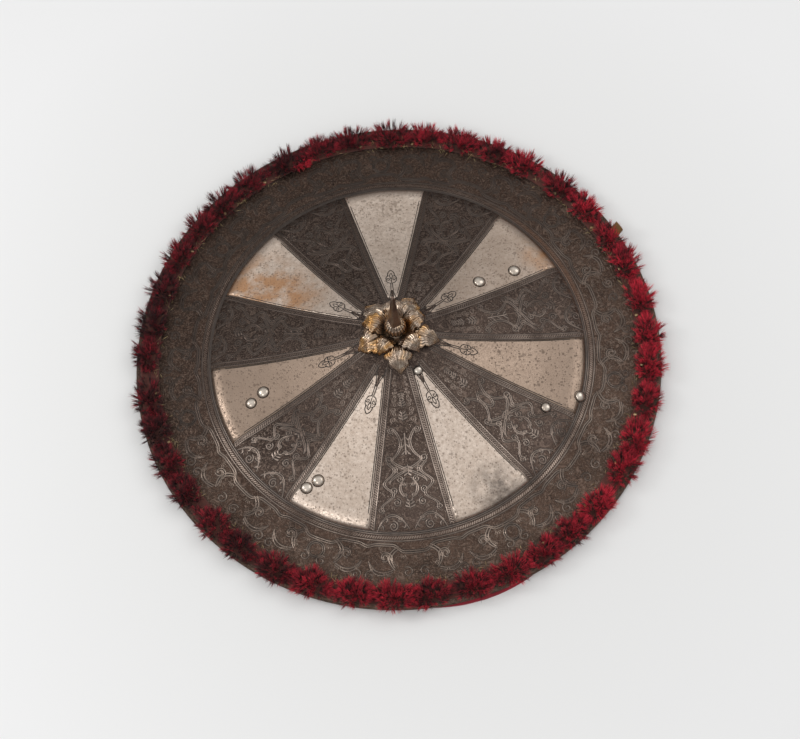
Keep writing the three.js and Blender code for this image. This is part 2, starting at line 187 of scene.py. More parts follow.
def clouds(tree, place, scale, detail=2.0, roughness=0.5, distortion=0.0):
    sockets = {"Vector": place, "Scale": scale, "Detail": detail, "Roughness": roughness,
               "Distortion": distortion}
    return put(tree, "ShaderNodeTexNoise", sockets).outputs[0]


def cells(tree, place, scale, randomness=1.0, feature="F1"):
    sockets = {"Vector": place, "Scale": scale, "Randomness": randomness}
    return put(tree, "ShaderNodeTexVoronoi", sockets, feature=feature).outputs


def kept_value(tree, name):
    """A value that each point of the mesh keeps."""
    return put(tree, "ShaderNodeAttribute", attribute_name=name).outputs["Fac"]


def new_finish(name, metallic, roughness, **plain):
    """A material with its tree, its shader node and its object coordinates."""
    material = bpy.data.materials.new(name)
    material.use_nodes = True
    tree = material.node_tree
    shader = tree.nodes["Principled BSDF"]
    shader.inputs["Metallic"].default_value = metallic
    shader.inputs["Roughness"].default_value = roughness
    for socket, value in plain.items():
        shader.inputs[socket.replace("_", " ")].default_value = value
    return material, tree, shader, tree.nodes.new("ShaderNodeTexCoord").outputs["Object"]


def paint(tree, shader, colour, roughness=None):
    tree.links.new(colour, shader.inputs["Base Color"])
    if roughness:
        tree.links.new(roughness, shader.inputs["Roughness"])


def bump(tree, shader, height, depth, strength=1.0):
    made = put(tree, "ShaderNodeBump", {"Height": height, "Distance": depth, "Strength": strength})
    tree.links.new(made.outputs["Normal"], shader.inputs["Normal"])


def old_metal_group():
    """Old metal is never even: wide patches, small mottling and fine pits, as three masks."""
    group = bpy.data.node_groups.new("Old metal", "ShaderNodeTree")
    group.interface.new_socket("Place", in_out="INPUT", socket_type="NodeSocketVector")
    for label in ("Patch size", "Pit size", "Pit share"):
        group.interface.new_socket(label, in_out="INPUT", socket_type="NodeSocketFloat")
    for label in ("Patches", "Mottle", "Pits"):
        group.interface.new_socket(label, in_out="OUTPUT", socket_type="NodeSocketFloat")
    take, give = group.nodes.new("NodeGroupInput").outputs, group.nodes.new("NodeGroupOutput").inputs
    place = take["Place"]
    patches = clouds(group, place, figure(group, "DIVIDE", 1.0, take["Patch size"]), 4.0, 0.6)
    mottle = clouds(group, place, 260.0, 5.0, 0.65)
    pit = cells(group, place, figure(group, "DIVIDE", 1.0, take["Pit size"]))
    chance = put(group, "ShaderNodeSeparateColor", {0: pit["Color"]}).outputs[0]
    gather = figure(group, "MULTIPLY", clouds(group, place, 85.0, 3.0), 0.7)
    spared = between(group, take["Pit share"], 0.0, 1.0, 1.4, 0.6)
    eaten = figure(group, "SUBTRACT", figure(group, "ADD", chance, gather), spared)
    size = between(group, eaten, 0.0, 0.6, 0.0, 0.7)
    pits = figure(group, "MULTIPLY", figure(group, "SUBTRACT", size, pit["Distance"]), 5.0, True)
    group.links.new(between(group, patches, 0.36, 0.64), give["Patches"])
    group.links.new(between(group, mottle, 0.3, 0.7), give["Mottle"])
    group.links.new(pits, give["Pits"])
    return group


old_metal = old_metal_group()


def metal_masks(tree, place, patch_size, pit_size, pit_share):
    sockets = {"Place": place, "Patch size": patch_size, "Pit size": pit_size, "Pit share": pit_share}
    return put(tree, "ShaderNodeGroup", sockets, node_tree=old_metal).outputs


def distance_from_axis(tree, place):
    apart = put(tree, "ShaderNodeSeparateXYZ", {0: place}).outputs
    flat = put(tree, "ShaderNodeCombineXYZ", {0: apart[0], 1: apart[1], 2: 0.0}).outputs[0]
    return put(tree, "ShaderNodeVectorMath", {0: flat}, operation="LENGTH").outputs["Value"]


def near_spot(tree, place, spot, inner, outer):
    """A mask that is one at a spot in millimetres and falls to nothing further out."""
    sockets = {0: place, 1: [value * MM for value in spot]}
    away = put(tree, "ShaderNodeVectorMath", sockets, operation="DISTANCE").outputs["Value"]
    return between(tree, away, inner * MM, outer * MM, 1.0, 0.0)


def towards_shaded_side(tree, place):
    """Metres towards the far left side, which the finishes paint darker as shade."""
    sockets = {0: place, 1: SHADED_SIDE}
    return put(tree, "ShaderNodeVectorMath", sockets, operation="DOT_PRODUCT").outputs["Value"]


def rust_by_ring(tree, place):
    """A mask of the brown rust that has gathered along the ring at the upper right."""
    off = figure(tree, "SUBTRACT", distance_from_axis(tree, place), 0.2095)
    near_ring = between(tree, figure(tree, "ABSOLUTE", off), 0.0015, 0.008, 1.0, 0.0)
    return times(tree, near_spot(tree, place, (190, 98, 10), 40, 120), near_ring)


def etched_ground():
    """Black oxide over a stippled surface, with worn curls, browner towards the edge, and painted darker
    towards the far left as shade.
    """
    material, tree, shader, place = new_finish("Etched ground", 0.9, 0.42)
    masks = metal_masks(tree, place, 0.05, 0.0016, 0.5)
    dots = between(tree, cells(tree, place, 620.0, 0.9)["Distance"], 0.22, 0.5, 1.0, 0.0)
    brim = between(tree, distance_from_axis(tree, place), 0.195, 0.222)
    black = blend(tree, masks["Patches"], (64, 53, 48), (86, 72, 65))
    brown = blend(tree, masks["Patches"], (58, 47, 41), (86, 70, 61))
    # Painted shade: the ground is darkened towards the far left side.
    shaded = between(tree, towards_shaded_side(tree, place), -0.17, 0.1, 0.0, 0.78)
    ground = blend(tree, shaded, blend(tree, brim, black, brown), (44, 35, 31))
    lit = blend(tree, times(tree, dots, 0.34), ground, (134, 116, 103))
    swirl = figure(tree, "MULTIPLY", clouds(tree, place, 58.0, 1.0, 0.5, 1.6), 12.0)
    curls = between(tree, figure(tree, "PINGPONG", swirl, 1.0), 0.62, 0.9)
    # Painted shade: the curls show less towards the far left side.
    painted_light_on_curls = between(tree, towards_shaded_side(tree, place), -0.02, 0.2, 1.0, 0.35)
    curled = blend(tree, times(tree, curls, times(tree, 0.42, painted_light_on_curls)), lit, (136, 117, 105))
    pitted = blend(tree, times(tree, masks["Pits"], 0.7), curled, (40, 33, 28))
    spread = greater(tree, times(tree, brim, 0.22), rust_by_ring(tree, place))
    rusty = blend(tree, times(tree, masks["Mottle"], spread), pitted, (110, 80, 62))
    paint(tree, shader, rusty, between(tree, masks["Mottle"], 0.0, 1.0, 0.36, 0.58))
    relief = greater(tree, times(tree, dots, 0.4), curls)
    bump(tree, shader, figure(tree, "SUBTRACT", relief, masks["Pits"], True), 0.0003, 0.8)
    return material


def forge_black():
    """The inside, left black from the fire, with hammer facets and brown rust."""
    material, tree, shader, place = new_finish("Forge black", 0.75, 0.6)
    masks = metal_masks(tree, place, 0.08, 0.003, 0.45)
    facets = cells(tree, place, 42.0, feature="SMOOTH_F1")["Distance"]
    base = blend(tree, masks["Patches"], (62, 56, 52), (96, 82, 70))
    rust = blend(tree, times(tree, masks["Mottle"], 0.5), base, (112, 76, 50))
    pitted = blend(tree, masks["Pits"], rust, (44, 36, 31))
    paint(tree, shader, pitted, between(tree, masks["Mottle"], 0.0, 1.0, 0.5, 0.8))
    bump(tree, shader, facets, 0.0012, 0.5)
    return material


def steel_plate():
    """The plate's closed skin: outer face, turned edge and inner face."""
    outer_rows, inner_rows, bead_rows = 76, 27, 19
    top_r, hem_r = RIM_R - BEAD_R, RIM_R - 10
    outer = [TANG_HOLE_R + (top_r - TANG_HOLE_R) * i / outer_rows for i in range(outer_rows)]
    outer = sorted(outer + [RING_R - 0.6, RING_R + 0.6, SHOULDER_R])
    bead = [(top_r + BEAD_R * math.cos(a), BEAD_Z + BEAD_R * math.sin(a))
            for a in (math.radians(90 - 15 * i) for i in range(bead_rows))]
    inner = [hem_r - (hem_r - TANG_HOLE_R) * i / (inner_rows - 1) for i in range(inner_rows)]
    inner.insert(0, RIM_R - 2 * BEAD_R - PLATE_T)
    turns = [360 * j / PLATE_COLUMNS for j in range(PLATE_COLUMNS)]
    points = [on_face(*around(r, turn)) for r in outer for turn in turns]
    points += [(*(v * MM for v in around(r, turn)), z * MM) for r, z in bead for turn in turns]
    inside_from = len(points)
    points += [on_face(*around(r, turn), -PLATE_T) for r in inner for turn in turns]
    faces = ring_faces(len(points) // PLATE_COLUMNS, PLATE_COLUMNS, loop=True)
    picks = [1 if i >= inside_from - PLATE_COLUMNS else 0 for i in range(len(faces))]
    return closed_piece("shield_plate", points, faces, [etched_ground(), forge_black()], picks)


plate = steel_plate()
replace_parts(plate, "steel_plate")
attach(plate, "root")


# Bright panels
# Seven plain wedges of the same plate that the etcher stopped out with wax, so that they
# stand a hair proud of the dark ground. They are rubbed bright, pitted and rust-stained, and
# each is painted lighter or darker as a whole, as the light and shade that fall on it.

PANEL_AZIMUTHS = [89.8 - k * 360 / 7 for k in range(7)]
# How bright each panel is painted, from shaded to lit, standing in for the light that falls on it.
PANEL_PAINTED_LIGHT = [1.0, 0.5, 0.0, 1.0, 1.0, 0.0, 0.95]
PANEL_APEX_X = 28.0
PANEL_SPREAD = 0.2573
PANEL_START_X = 47.0
PANEL_NOTCH = 13.0
PANEL_LIFT = 0.22
RUST_STAINS = [((-160, 92, 16), 12, 62), ((-112, 74, 32), 8, 48), ((176, 106, 12), 2, 36)]
SMUDGE = ((92, -168, 14), 8, 34)
SPOT_CLUSTER = ((4, 178, 16), 3, 20)


def turned_spot(x, y, degrees):
    """Spot in the shield's plan from x out along an azimuth and y to its left."""
    turn = math.radians(degrees)
    return x * math.cos(turn) - y * math.sin(turn), x * math.sin(turn) + y * math.cos(turn)


def panel_half_width(x):
    return (x - PANEL_APEX_X) * PANEL_SPREAD


def rubbed_steel():
    material, tree, shader, place = new_finish("Rubbed steel", 1.0, 0.36)
    masks = metal_masks(tree, place, 0.045, 0.0021, 0.78)
    specks = metal_masks(tree, place, 0.02, 0.0044, 0.56)
    # Painted light and shade: shaded and lit colours of the same steel, picked per panel by its tone.
    painted_shade = blend(tree, masks["Patches"], (140, 122, 108), (156, 137, 122))
    painted_light = blend(tree, masks["Patches"], (210, 193, 178), (230, 214, 200))
    base = blend(tree, kept_value(tree, "tone"), painted_shade, painted_light)
    mottled = blend(tree, times(tree, masks["Mottle"], 0.62), base, (154, 134, 118))
    stains = 0.0
    for spot, inner, outer in RUST_STAINS:
        stains = figure(tree, "ADD", stains, near_spot(tree, place, spot, inner, outer), True)
    cloud = between(tree, clouds(tree, place, 48.0, 5.0, 0.62), 0.36, 0.58)
    rusted = blend(tree, times(tree, times(tree, stains, cloud), 0.8), mottled, (178, 128, 84))
    smudge = times(tree, near_spot(tree, place, *SMUDGE), cloud)
    dulled = blend(tree, times(tree, smudge, 0.85), rusted, (92, 84, 78))
    blots = between(tree, clouds(tree, place, 210.0), 0.54, 0.6)
    spots = times(tree, near_spot(tree, place, *SPOT_CLUSTER), blots)
    specked = between(tree, clouds(tree, place, 620.0, 3.0, 0.6), 0.5, 0.72, 0.0, 0.42)
    pits = times(tree, greater(tree, masks["Pits"], specks["Pits"]), 0.8)
    dark = greater(tree, greater(tree, spots, specked), pits)
    rough = between(tree, masks["Mottle"], 0.0, 1.0, 0.3, 0.46)
    rougher = figure(tree, "ADD", rough, times(tree, dark, 0.25), True)
    paint(tree, shader, blend(tree, times(tree, dark, 0.55), dulled, (96, 83, 74)), rougher)
    bump(tree, shader, figure(tree, "SUBTRACT", 1.0, dark, True), 0.00022, 0.6)
    return material


def bright_panels():
    points, faces, tones = [], [], []
    rows, columns = 44, 25
    edge = RING_R - 0.8
    # Each panel's tone is its painted brightness, as light and shade.
    for azimuth, brightened in zip(PANEL_AZIMUTHS, PANEL_PAINTED_LIGHT):
        first = len(points)
        for i in range(rows):
            for j in range(columns):
                side = -1 + 2 * j / (columns - 1)
                notch = PANEL_NOTCH * max(0.0, 1 - (side / 0.3) ** 2)
                start = PANEL_START_X + notch + 4.0 * max(0.0, abs(side) - 0.5)
                x0 = start + (edge - start) * i / (rows - 1)
                y = side * panel_half_width(x0)
                drop = edge - math.sqrt(edge * edge - y * y)
                x = x0 - drop * (x0 - start) / (edge - start)
                points.append(on_face(*turned_spot(x, y, azimuth), PANEL_LIFT))
        under = len(points)
        points += [(x, y, z - 2.5 * PANEL_LIFT * MM) for x, y, z in points[first:under]]
        faces += sheet_faces(rows, columns, first, under)
        tones += [brightened] * (len(points) - first)
    return closed_piece("bright_panels", points, faces, [rubbed_steel()], tones=tones)


panels = bright_panels()
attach(panels, "root")


# Etching of the bands
# Between the panels the design was painted in wax and the ground eaten away with acid, so
# scrolls, straps and leaves stand up as thin bright lines on the black stippled ground.

LINE_W = 1.0
LINE_RISE = 0.34
# Width and lift of the dark strip beside each line, which is painted shade at the line's foot.
DARK_STRIP_W = 0.6
DARK_STRIP_LIFT = 0.06
BAND_FILLERS = 210
# A painted glint: the etched lines are shown bright round this spot at the lower left, by the ring.
PAINTED_GLINT = ((-172, -115, 14), 22, 80)


class Lines:
    """Raised lines on the plate, drawn in plan and kept as one mesh."""

    def __init__(self):
        self.points = []
        self.faces = []
        self.picks = []

    def draw(self, path, width=LINE_W, rise=LINE_RISE, lift=0.0, taper=False, dark_strip=DARK_STRIP_W):
        """A low ridge along a path of spots in millimetres, with a dark strip on both sides; beside a bright
        line the strip is painted shade at its foot.
        """
        path = [path[0]] + [b for a, b in zip(path, path[1:]) if math.dist(a, b) > 0.05]
        count = len(path)
        if count < 2:
            return
        first = len(self.points)
        for i, (x, y) in enumerate(path):
            before, after = path[max(i - 1, 0)], path[min(i + 1, count - 1)]
            dx, dy = after[0] - before[0], after[1] - before[1]
            length = math.hypot(dx, dy) or 1.0
            half = width / 2
            if taper:
                half *= 0.25 + 0.75 * math.sin(math.pi * (0.12 + 0.8 * i / (count - 1)))
            nx, ny = -dy / length, dx / length
            out = half + dark_strip
            section = ((out, DARK_STRIP_LIFT), (half, DARK_STRIP_LIFT), (0, rise), (-half, DARK_STRIP_LIFT), (-out, DARK_STRIP_LIFT))
            for side, z in section if dark_strip else section[1:4]:
                self.points.append(on_face(x + nx * side, y + ny * side, lift + z))
        across = 5 if dark_strip else 3
        for i in range(count - 1):
            a, b = first + across * i, first + across * (i + 1)
            self.faces += [(a + k, b + k, b + k + 1, a + k + 1) for k in range(across - 1)]
            self.faces.append((a + across - 1, b + across - 1, b, a))
            self.picks += [1, 0, 0, 1, 1] if dark_strip else [0, 0, 1]
        last = first + across * (count - 1)
        self.faces += [tuple(first + k for k in range(across)), tuple(last + k for k in range(across))]
        self.picks += [0, 0]

    def made(self, name, ridge, dark_strip):
        return closed_piece(name, self.points, self.faces, [ridge, dark_strip], self.picks, smooth=False)


def spiral(cx, cy, size, start, turns, grow=1):
    """Spots of a curl that winds in from its outer end; grow is its sense of turn."""
    steps = max(8, int(turns * 16))
    spots = []
    for i in range(steps + 1):
        share = i / steps
        angle = math.radians(start) + grow * share * turns * 2 * math.pi
        radius = size * (1 - 0.82 * share)
        spots.append((cx + radius * math.cos(angle), cy + radius * math.sin(angle)))
    return spots


def bow(a, b, rise, steps=10):
    """Spots of an arc between two spots, bulging to its left by a rise."""
    dx, dy = b[0] - a[0], b[1] - a[1]
    length = math.hypot(dx, dy) or 1.0
    nx, ny = -dy / length, dx / length
    spots = []
    for i in range(steps + 1):
        share = i / steps
        lift = rise * 4 * share * (1 - share)
        spots.append((a[0] + dx * share + nx * lift, a[1] + dy * share + ny * lift))
    return spots


def stroke(x, y, turn, length, rise, steps):
    """An arc of a length that leaves a spot at an angle in radians."""
    return bow((x, y), (x + length * math.cos(turn), y + length * math.sin(turn)), rise, steps)


def placed(path, azimuth):
    return [turned_spot(x, y, azimuth) for x, y in path]


def band_half_width(x):
    """Clear half width of a dark band at a distance out, between its two border strips."""
    return 0.1995 * x + 7.12 - 8.0


def sprig(x, y, heading, size):
    """A leafy sprig: a curved stem with three pairs of leaves. Each path comes with its width."""
    def at(u, v):
        across, up = turned_spot(u, v, heading)
        return x + across, y + up

    stem = [at(size * t, 0.12 * size * math.sin(3 * t)) for t in (0, 0.25, 0.5, 0.75, 1)]
    strokes = [(stem, LINE_W)]
    for t, spread in ((0.2, 0.5), (0.5, 0.42), (0.78, 0.3)):
        for side in (-1, 1):
            leaf = [at(size * (t + 0.28 * k), side * size * spread * math.sin(1.5 * k))
                    for k in (0, 0.35, 0.7, 1)]
            strokes.append((leaf, 1.5))
    return strokes


def band_design(lines, azimuth, with_oval, seed):
    """One band's design, drawn along +X and mirrored about the band's middle."""
    def both(path, width=LINE_W, taper=False, dark_strip=DARK_STRIP_W):
        for half in (path, [(x, -y) for x, y in path]):
            lines.draw(placed(half, azimuth), width, taper=taper, dark_strip=dark_strip)

    def share(x, part):
        return x, part * band_half_width(x)

    # Two arches with curls and leaves under the ring
    for inset in (0.0, 2.0):
        both(bow(share(204, 0.08), share(204, 0.94), 16 - inset, 18))
    both(spiral(200.5, 0.50 * band_half_width(200), 5.2, 180, 1.6, 1))
    both(spiral(193.5, 0.32 * band_half_width(193), 3.0, 60, 1.3, -1))
    for x, part, heading in ((203, 0.22, 200), (203, 0.78, 160), (196, 0.7, 180)):
        both(stroke(*share(x, part), math.radians(heading), 5, 1.2, 5), 1.5, True)
    both(spiral(*share(183, 0.88), 3.6, 0, 1.5, -1))

    # Straps that bracket in and out down both sides, with curls and a crossing between them
    for inset in (0.0, 2.1):
        path = []
        for i in range(41):
            x = 184 - 50 * i / 40
            wave = 0.72 + 0.17 * math.sin(2 * math.pi * i / 20 + 0.6)
            path.append((x, wave * band_half_width(x) - inset))
        both(path)
    for x, part, size, start in ((176, 0.4, 4.4, 180), (163, 0.52, 4.0, 0), (152, 0.3, 3.6, 180),
                                 (141, 0.5, 3.4, 0), (169, 0.14, 2.4, 90), (157, 0.16, 2.2, 270)):
        both(spiral(*share(x, part), size, start, 1.5, 1 if start else -1))
    for inset in (0.0, 2.0):
        crossing = []
        for i in range(23):
            x = 156 - 26 * i / 22 - inset
            crossing.append((x, band_half_width(x) * 0.66 * math.cos(math.pi * i / 22)))
        both(crossing)
    both(bow((172, 2.5), (150, 3.0), -5.5, 12))
    both(bow((170, 6.0), (154, 6.2), -4.0, 10), 1.3)

    # Back-to-back double C with four curls
    for inset in (0.0, 2.0):
        ends = [(x, 0.70 * band_half_width(x) - inset) for x in (131, 99)]
        both(bow(*ends, 0.42 * band_half_width(115), 18))
    both(spiral(130, 0.74 * band_half_width(130), 4.6, 250, 1.6, 1))
    both(spiral(100, 0.74 * band_half_width(100), 3.8, 110, 1.6, -1))
    if with_oval:
        for inset in (0.0, 1.9):
            oval = [(115 + (10.5 - inset) * math.cos(a), (5.6 - inset) * math.sin(a))
                    for a in (2 * math.pi * i / 24 for i in range(25))]
            lines.draw(placed(oval, azimuth))
    else:
        lines.draw(placed([(104, 0), (126, 0)], azimuth), 1.4)
        for x in (108, 115, 122):
            both([(x, 0.6), (x + 3, 3.2), (x + 4.5, 5.4)], 1.4, True)

    # Leaf sprigs on the axis and small curls to the inner end
    for x, heading, size in ((136, 0, 12), (184, 180, 11), (92, 180, 10), (78, 180, 8), (62, 0, 7)):
        for path, width in sprig(x, 0, heading, size):
            lines.draw(placed(path, azimuth), width, taper=True)
    for x, size in ((90, 3.4), (80, 3.0), (71, 2.4), (63, 1.9), (55, 1.5), (48, 1.2)):
        y = max(0.62 * band_half_width(x), size * 0.9)
        both(spiral(x, y, size, 30, 1.3, 1), dark_strip=0)
        both(spiral(x - size * 1.7, y * 0.8, size * 0.7, 210, 1.2, -1), dark_strip=0)

    # Small leaves that fill what is left of the ground
    draw = random.Random(seed)
    for i in range(BAND_FILLERS):
        x = draw.uniform(44, 204)
        y = draw.uniform(0.06, 0.97) * band_half_width(x)
        turn = draw.uniform(0, 2 * math.pi)
        length = draw.uniform(1.4, 3.6) * (0.5 + 0.5 * x / 200)
        leaf = stroke(x, y, turn, length, draw.uniform(-0.9, 0.9), 3)
        both([(a, min(max(b, 0.3), 0.99 * band_half_width(a))) for a, b in leaf], 0.9, True, 0)


def etched_line():
    """Bright tops of the etched lines, worn through to the ground in patches, painted brighter on the near
    side and in a glint at the lower left, and painted darker on the far side as shade.
    """
    material, tree, shader, place = new_finish("Etched line", 0.95, 0.34)
    masks = metal_masks(tree, place, 0.04, 0.0018, 0.5)
    # Painted light and shade: the lines show brighter on the near side and fade on the far side.
    near = between(tree, towards_shaded_side(tree, place), -0.13, 0.07, 1.0, 0.2)
    brim = between(tree, distance_from_axis(tree, place), 0.212, 0.222)
    wear_and_painted_light = times(tree, between(tree, masks["Patches"], 0.0, 1.0, 0.2, 1.0), near)
    # Painted glint: the lines are shown bright round a spot at the lower left.
    shown = greater(tree, wear_and_painted_light, times(tree, near_spot(tree, place, *PAINTED_GLINT), 0.95))
    bands = blend(tree, shown, (80, 67, 60), (170, 153, 141))
    edge = blend(tree, shown, (72, 60, 54), (144, 128, 116))
    rust = times(tree, rust_by_ring(tree, place), 0.75)
    rusty = blend(tree, rust, blend(tree, brim, bands, edge), (104, 76, 60))
    # Painted shade: the lines are darkened towards the far left side.
    darkened = between(tree, towards_shaded_side(tree, place), 0.0, 0.2, 0.0, 0.72)
    rough = between(tree, masks["Mottle"], 0.0, 1.0, 0.28, 0.5)
    paint(tree, shader, blend(tree, darkened, rusty, (58, 48, 42)), rough)
    return material


def etched_black_and_shade_finish():
    """Black for the etched lines on the bright panels, and for the strips beside each raised line, where it
    is painted shade at the line's foot.
    """
    material, tree, shader, place = new_finish("Etched black and painted shade", 0.2, 0.6)
    masks = metal_masks(tree, place, 0.06, 0.0016, 0.5)
    paint(tree, shader, blend(tree, masks["Mottle"], (36, 30, 26), (66, 56, 49)))
    return material


line_steel = etched_line()
etched_black_and_shade = etched_black_and_shade_finish()
band_lines = Lines()
for k, panel_azimuth in enumerate(PANEL_AZIMUTHS):
    band_design(band_lines, panel_azimuth - 180 / 7, k % 2 == 0, 40 + k)
band_etching = band_lines.made("band_etching", line_steel, etched_black_and_shade)
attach(band_etching, "root")


# Borders
# Each panel is framed by a line, a row of slanting cable strokes and a second line, and the
# same cable runs round the ring. A trefoil on a forked stem is drawn at each panel's point.

BORDER_START_X = 38.0
BORDER_LINES = ((1.7, 1.0), (6.4, 1.1))
BORDER_CABLE = 4.1
RING_LINES = ((0.6, 1.1), (2.6, 0.9), (9.2, 1.1))
RING_CABLE = 5.9
CABLE_STEP = 2.6
CABLE_SLANT = 52


def pieces_on_points(name, spots, shape, finish):
    """Sets copies of a shape on spots by Geometry Nodes and returns them as one mesh.

    Each spot is a place, the direction that the shape's Z takes, a turn about it, a size and
    a tone from 0 to 1 that the finish may read.
    """
    cloud = bpy.data.meshes.new(name)
    cloud.from_pydata([spot[0] for spot in spots], [], [])
    for column, label in enumerate(("direction", "turn", "size", "tone"), 1):
        values = [spot[column] for spot in spots]
        if label in ("direction", "size"):
            layer = cloud.attributes.new(label, "FLOAT_VECTOR", "POINT")
            layer.data.foreach_set("vector", [part for value in values for part in value])
        else:
            cloud.attributes.new(label, "FLOAT", "POINT").data.foreach_set("value", values)
    carrier = bpy.data.objects.new(name, cloud)
    bpy.context.scene.collection.objects.link(carrier)
    modifier = carrier.modifiers.new("pieces", "NODES")
    modifier.node_group = placing_tree
    given = {"Shape": shape, "Finish": finish}
    for item in placing_tree.interface.items_tree:
        if item.name in given:
            modifier[item.identifier] = given[item.name]
    depsgraph = bpy.context.evaluated_depsgraph_get()
    mesh = bpy.data.meshes.new_from_object(carrier.evaluated_get(depsgraph))
    carrier.modifiers.remove(modifier)
    carrier.data = mesh
    mesh.name = name
    bpy.data.meshes.remove(cloud)
    bpy.data.objects.remove(shape)
    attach(carrier, "root")
    return carrier


def make_placing_tree():
    tree = bpy.data.node_groups.new("Pieces on points", "GeometryNodeTree")
    for label, kind in (("Geometry", "Geometry"), ("Shape", "Object"), ("Finish", "Material")):
        tree.interface.new_socket(label, in_out="INPUT", socket_type="NodeSocket" + kind)
    tree.interface.new_socket("Geometry", in_out="OUTPUT", socket_type="NodeSocketGeometry")
    take, give = tree.nodes.new("NodeGroupInput").outputs, tree.nodes.new("NodeGroupOutput").inputs

    def step(kind, sockets, **settings):
        return put(tree, kind, sockets, **settings).outputs[0]

    def named(label, kind):
        return step("GeometryNodeInputNamedAttribute", {"Name": label}, data_type=kind)

    aim = step("FunctionNodeAlignRotationToVector", {"Vector": named("direction", "FLOAT_VECTOR")}, axis="Z")
    spin = step("FunctionNodeAxisAngleToRotation", {"Axis": (0, 0, 1), "Angle": named("turn", "FLOAT")})
    turned = step("FunctionNodeRotateRotation", {0: aim, 1: spin}, rotation_space="LOCAL")
    shape = put(tree, "GeometryNodeObjectInfo", {"Object": take["Shape"], "As Instance": True})
    sockets = {"Points": take["Geometry"], "Instance": shape.outputs["Geometry"],
               "Rotation": turned, "Scale": named("size", "FLOAT_VECTOR")}
    real = step("GeometryNodeRealizeInstances", {0: step("GeometryNodeInstanceOnPoints", sockets)})
    tree.links.new(step("GeometryNodeSetMaterial", {0: real, "Material": take["Finish"]}), give[0])
    return tree


placing_tree = make_placing_tree()


def face_normal(x, y):
    """Direction straight out of the plate's face over a spot in millimetres."""
    r = math.hypot(x, y) or 1.0
    slope = (face_height(r + 1) - face_height(max(r - 1, 0))) / 2
    return Vector((-slope * x / r, -slope * y / r, 1.0)).normalized()


def bar_shape(length, width, rise):
    """A low ridge of a bar, as long as one cable stroke."""
    a, b = length / 2 * MM, width / 2 * MM
    points = [(-a, -b, 0), (a, -b, 0), (a, b, 0), (-a, b, 0)]
    points += [(-0.8 * a, 0, rise * MM), (0.8 * a, 0, rise * MM)]
    faces = [(0, 1, 5, 4), (2, 3, 4, 5), (1, 2, 5), (3, 0, 4), (3, 2, 1, 0)]
    return new_piece("bar", points, faces, [], smooth=False)


def border_lines():
    lines, cable = Lines(), []
    slope = math.atan(PANEL_SPREAD)

    def cable_stroke(x, y, heading):
        """One slanting stroke; heading is the border's own direction in degrees."""
        turn = math.radians(heading + CABLE_SLANT)
        cable.append((on_face(x, y, 0.02), face_normal(x, y), turn, (1, 1, 1), 0.5))

    for azimuth in PANEL_AZIMUTHS:
        for side in (-1, 1):
            for gap, width in BORDER_LINES:
                path = []
                for i in range(61):
                    x = BORDER_START_X + (RING_R - 2 - BORDER_START_X) * i / 60
                    y = panel_half_width(x) + gap / math.cos(slope)
                    if math.hypot(x, y) < RING_R - 0.5:
                        path.append(turned_spot(x, side * y, azimuth))
                lines.draw(path, width)
            x = BORDER_START_X
            y = panel_half_width(x) + BORDER_CABLE / math.cos(slope)
            while math.hypot(x, y) <= RING_R - 2:
                cable_stroke(*turned_spot(x, side * y, azimuth), azimuth + side * math.degrees(slope))
                x += CABLE_STEP * math.cos(slope)
                y = panel_half_width(x) + BORDER_CABLE / math.cos(slope)
    for out, width in RING_LINES:
        lines.draw([around(RING_R + out, 360 * i / 420) for i in range(421)], width)
    count = int(2 * math.pi * (RING_R + 6) / CABLE_STEP)
    for i in range(count):
        degrees = 360 * i / count
        cable_stroke(*around(RING_R + RING_CABLE, degrees), degrees + 90)
    return lines.made("border_lines", line_steel, etched_black_and_shade), cable


borders, cable_spots = border_lines()
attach(borders, "root")
pieces_on_points("cable_strokes", cable_spots, bar_shape(3.6, 1.3, 0.3), line_steel)


def trefoils():
    lines = Lines()
    for azimuth in PANEL_AZIMUTHS:
        def ink(path, width=0.2):
            lines.draw(placed(path, azimuth), width, 0.14, PANEL_LIFT, dark_strip=0.42)

        for side in (-1, 1):
            ink([(40, side * 5.0), (46, side * 4.2), (52, side * 2.4), (58, side * 1.2), (70, side * 0.9)])
            ink([(x, side * (panel_half_width(x) - 1.3)) for x in range(54, 204, 6)], 0.1)
            ink(bow((70, side * 0.9), (75, side * 5.4), side * 1.6))
            ink(spiral(75.4, side * 3.3, 2.3, 90 * side, 1.1, -side), 0.1)
            ink(bow((75.3, side * 5.6), (81.5, side * 2.6), side * 1.4))
            ink(bow((80, side * 3.6), (89, 0), side * 1.6))
            ink([(76.5, side * 0.8), (81, side * 1.6), (84.5, side * 0.4)], 0.1)
        ink([(70, 0), (74, 0), (78, 0)], 0.1)
    return lines.made("panel_trefoils", etched_black_and_shade, etched_black_and_shade)


trefoil_lines = trefoils()
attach(trefoil_lines, "root")


# Etching of the brim
# A bracketed strap runs round inside the brim, with pairs of scrolls, roundels and leaves
# beyond it. It is rubbed nearly smooth and browned, and painted darker on the far side as shade.

BRIM_GROUPS = 14
BRIM_FILLERS = 180
STRAP_R = 219.6
ROUNDEL_AT = 240
ROUNDEL_R = 9.5
LEAF_SPRAYS = ((14, 230, 6, 30), (41, 228, 6, 140), (30, 256, 6, 200), (20, 240, 5, 330), (48, 246, 5, 90))


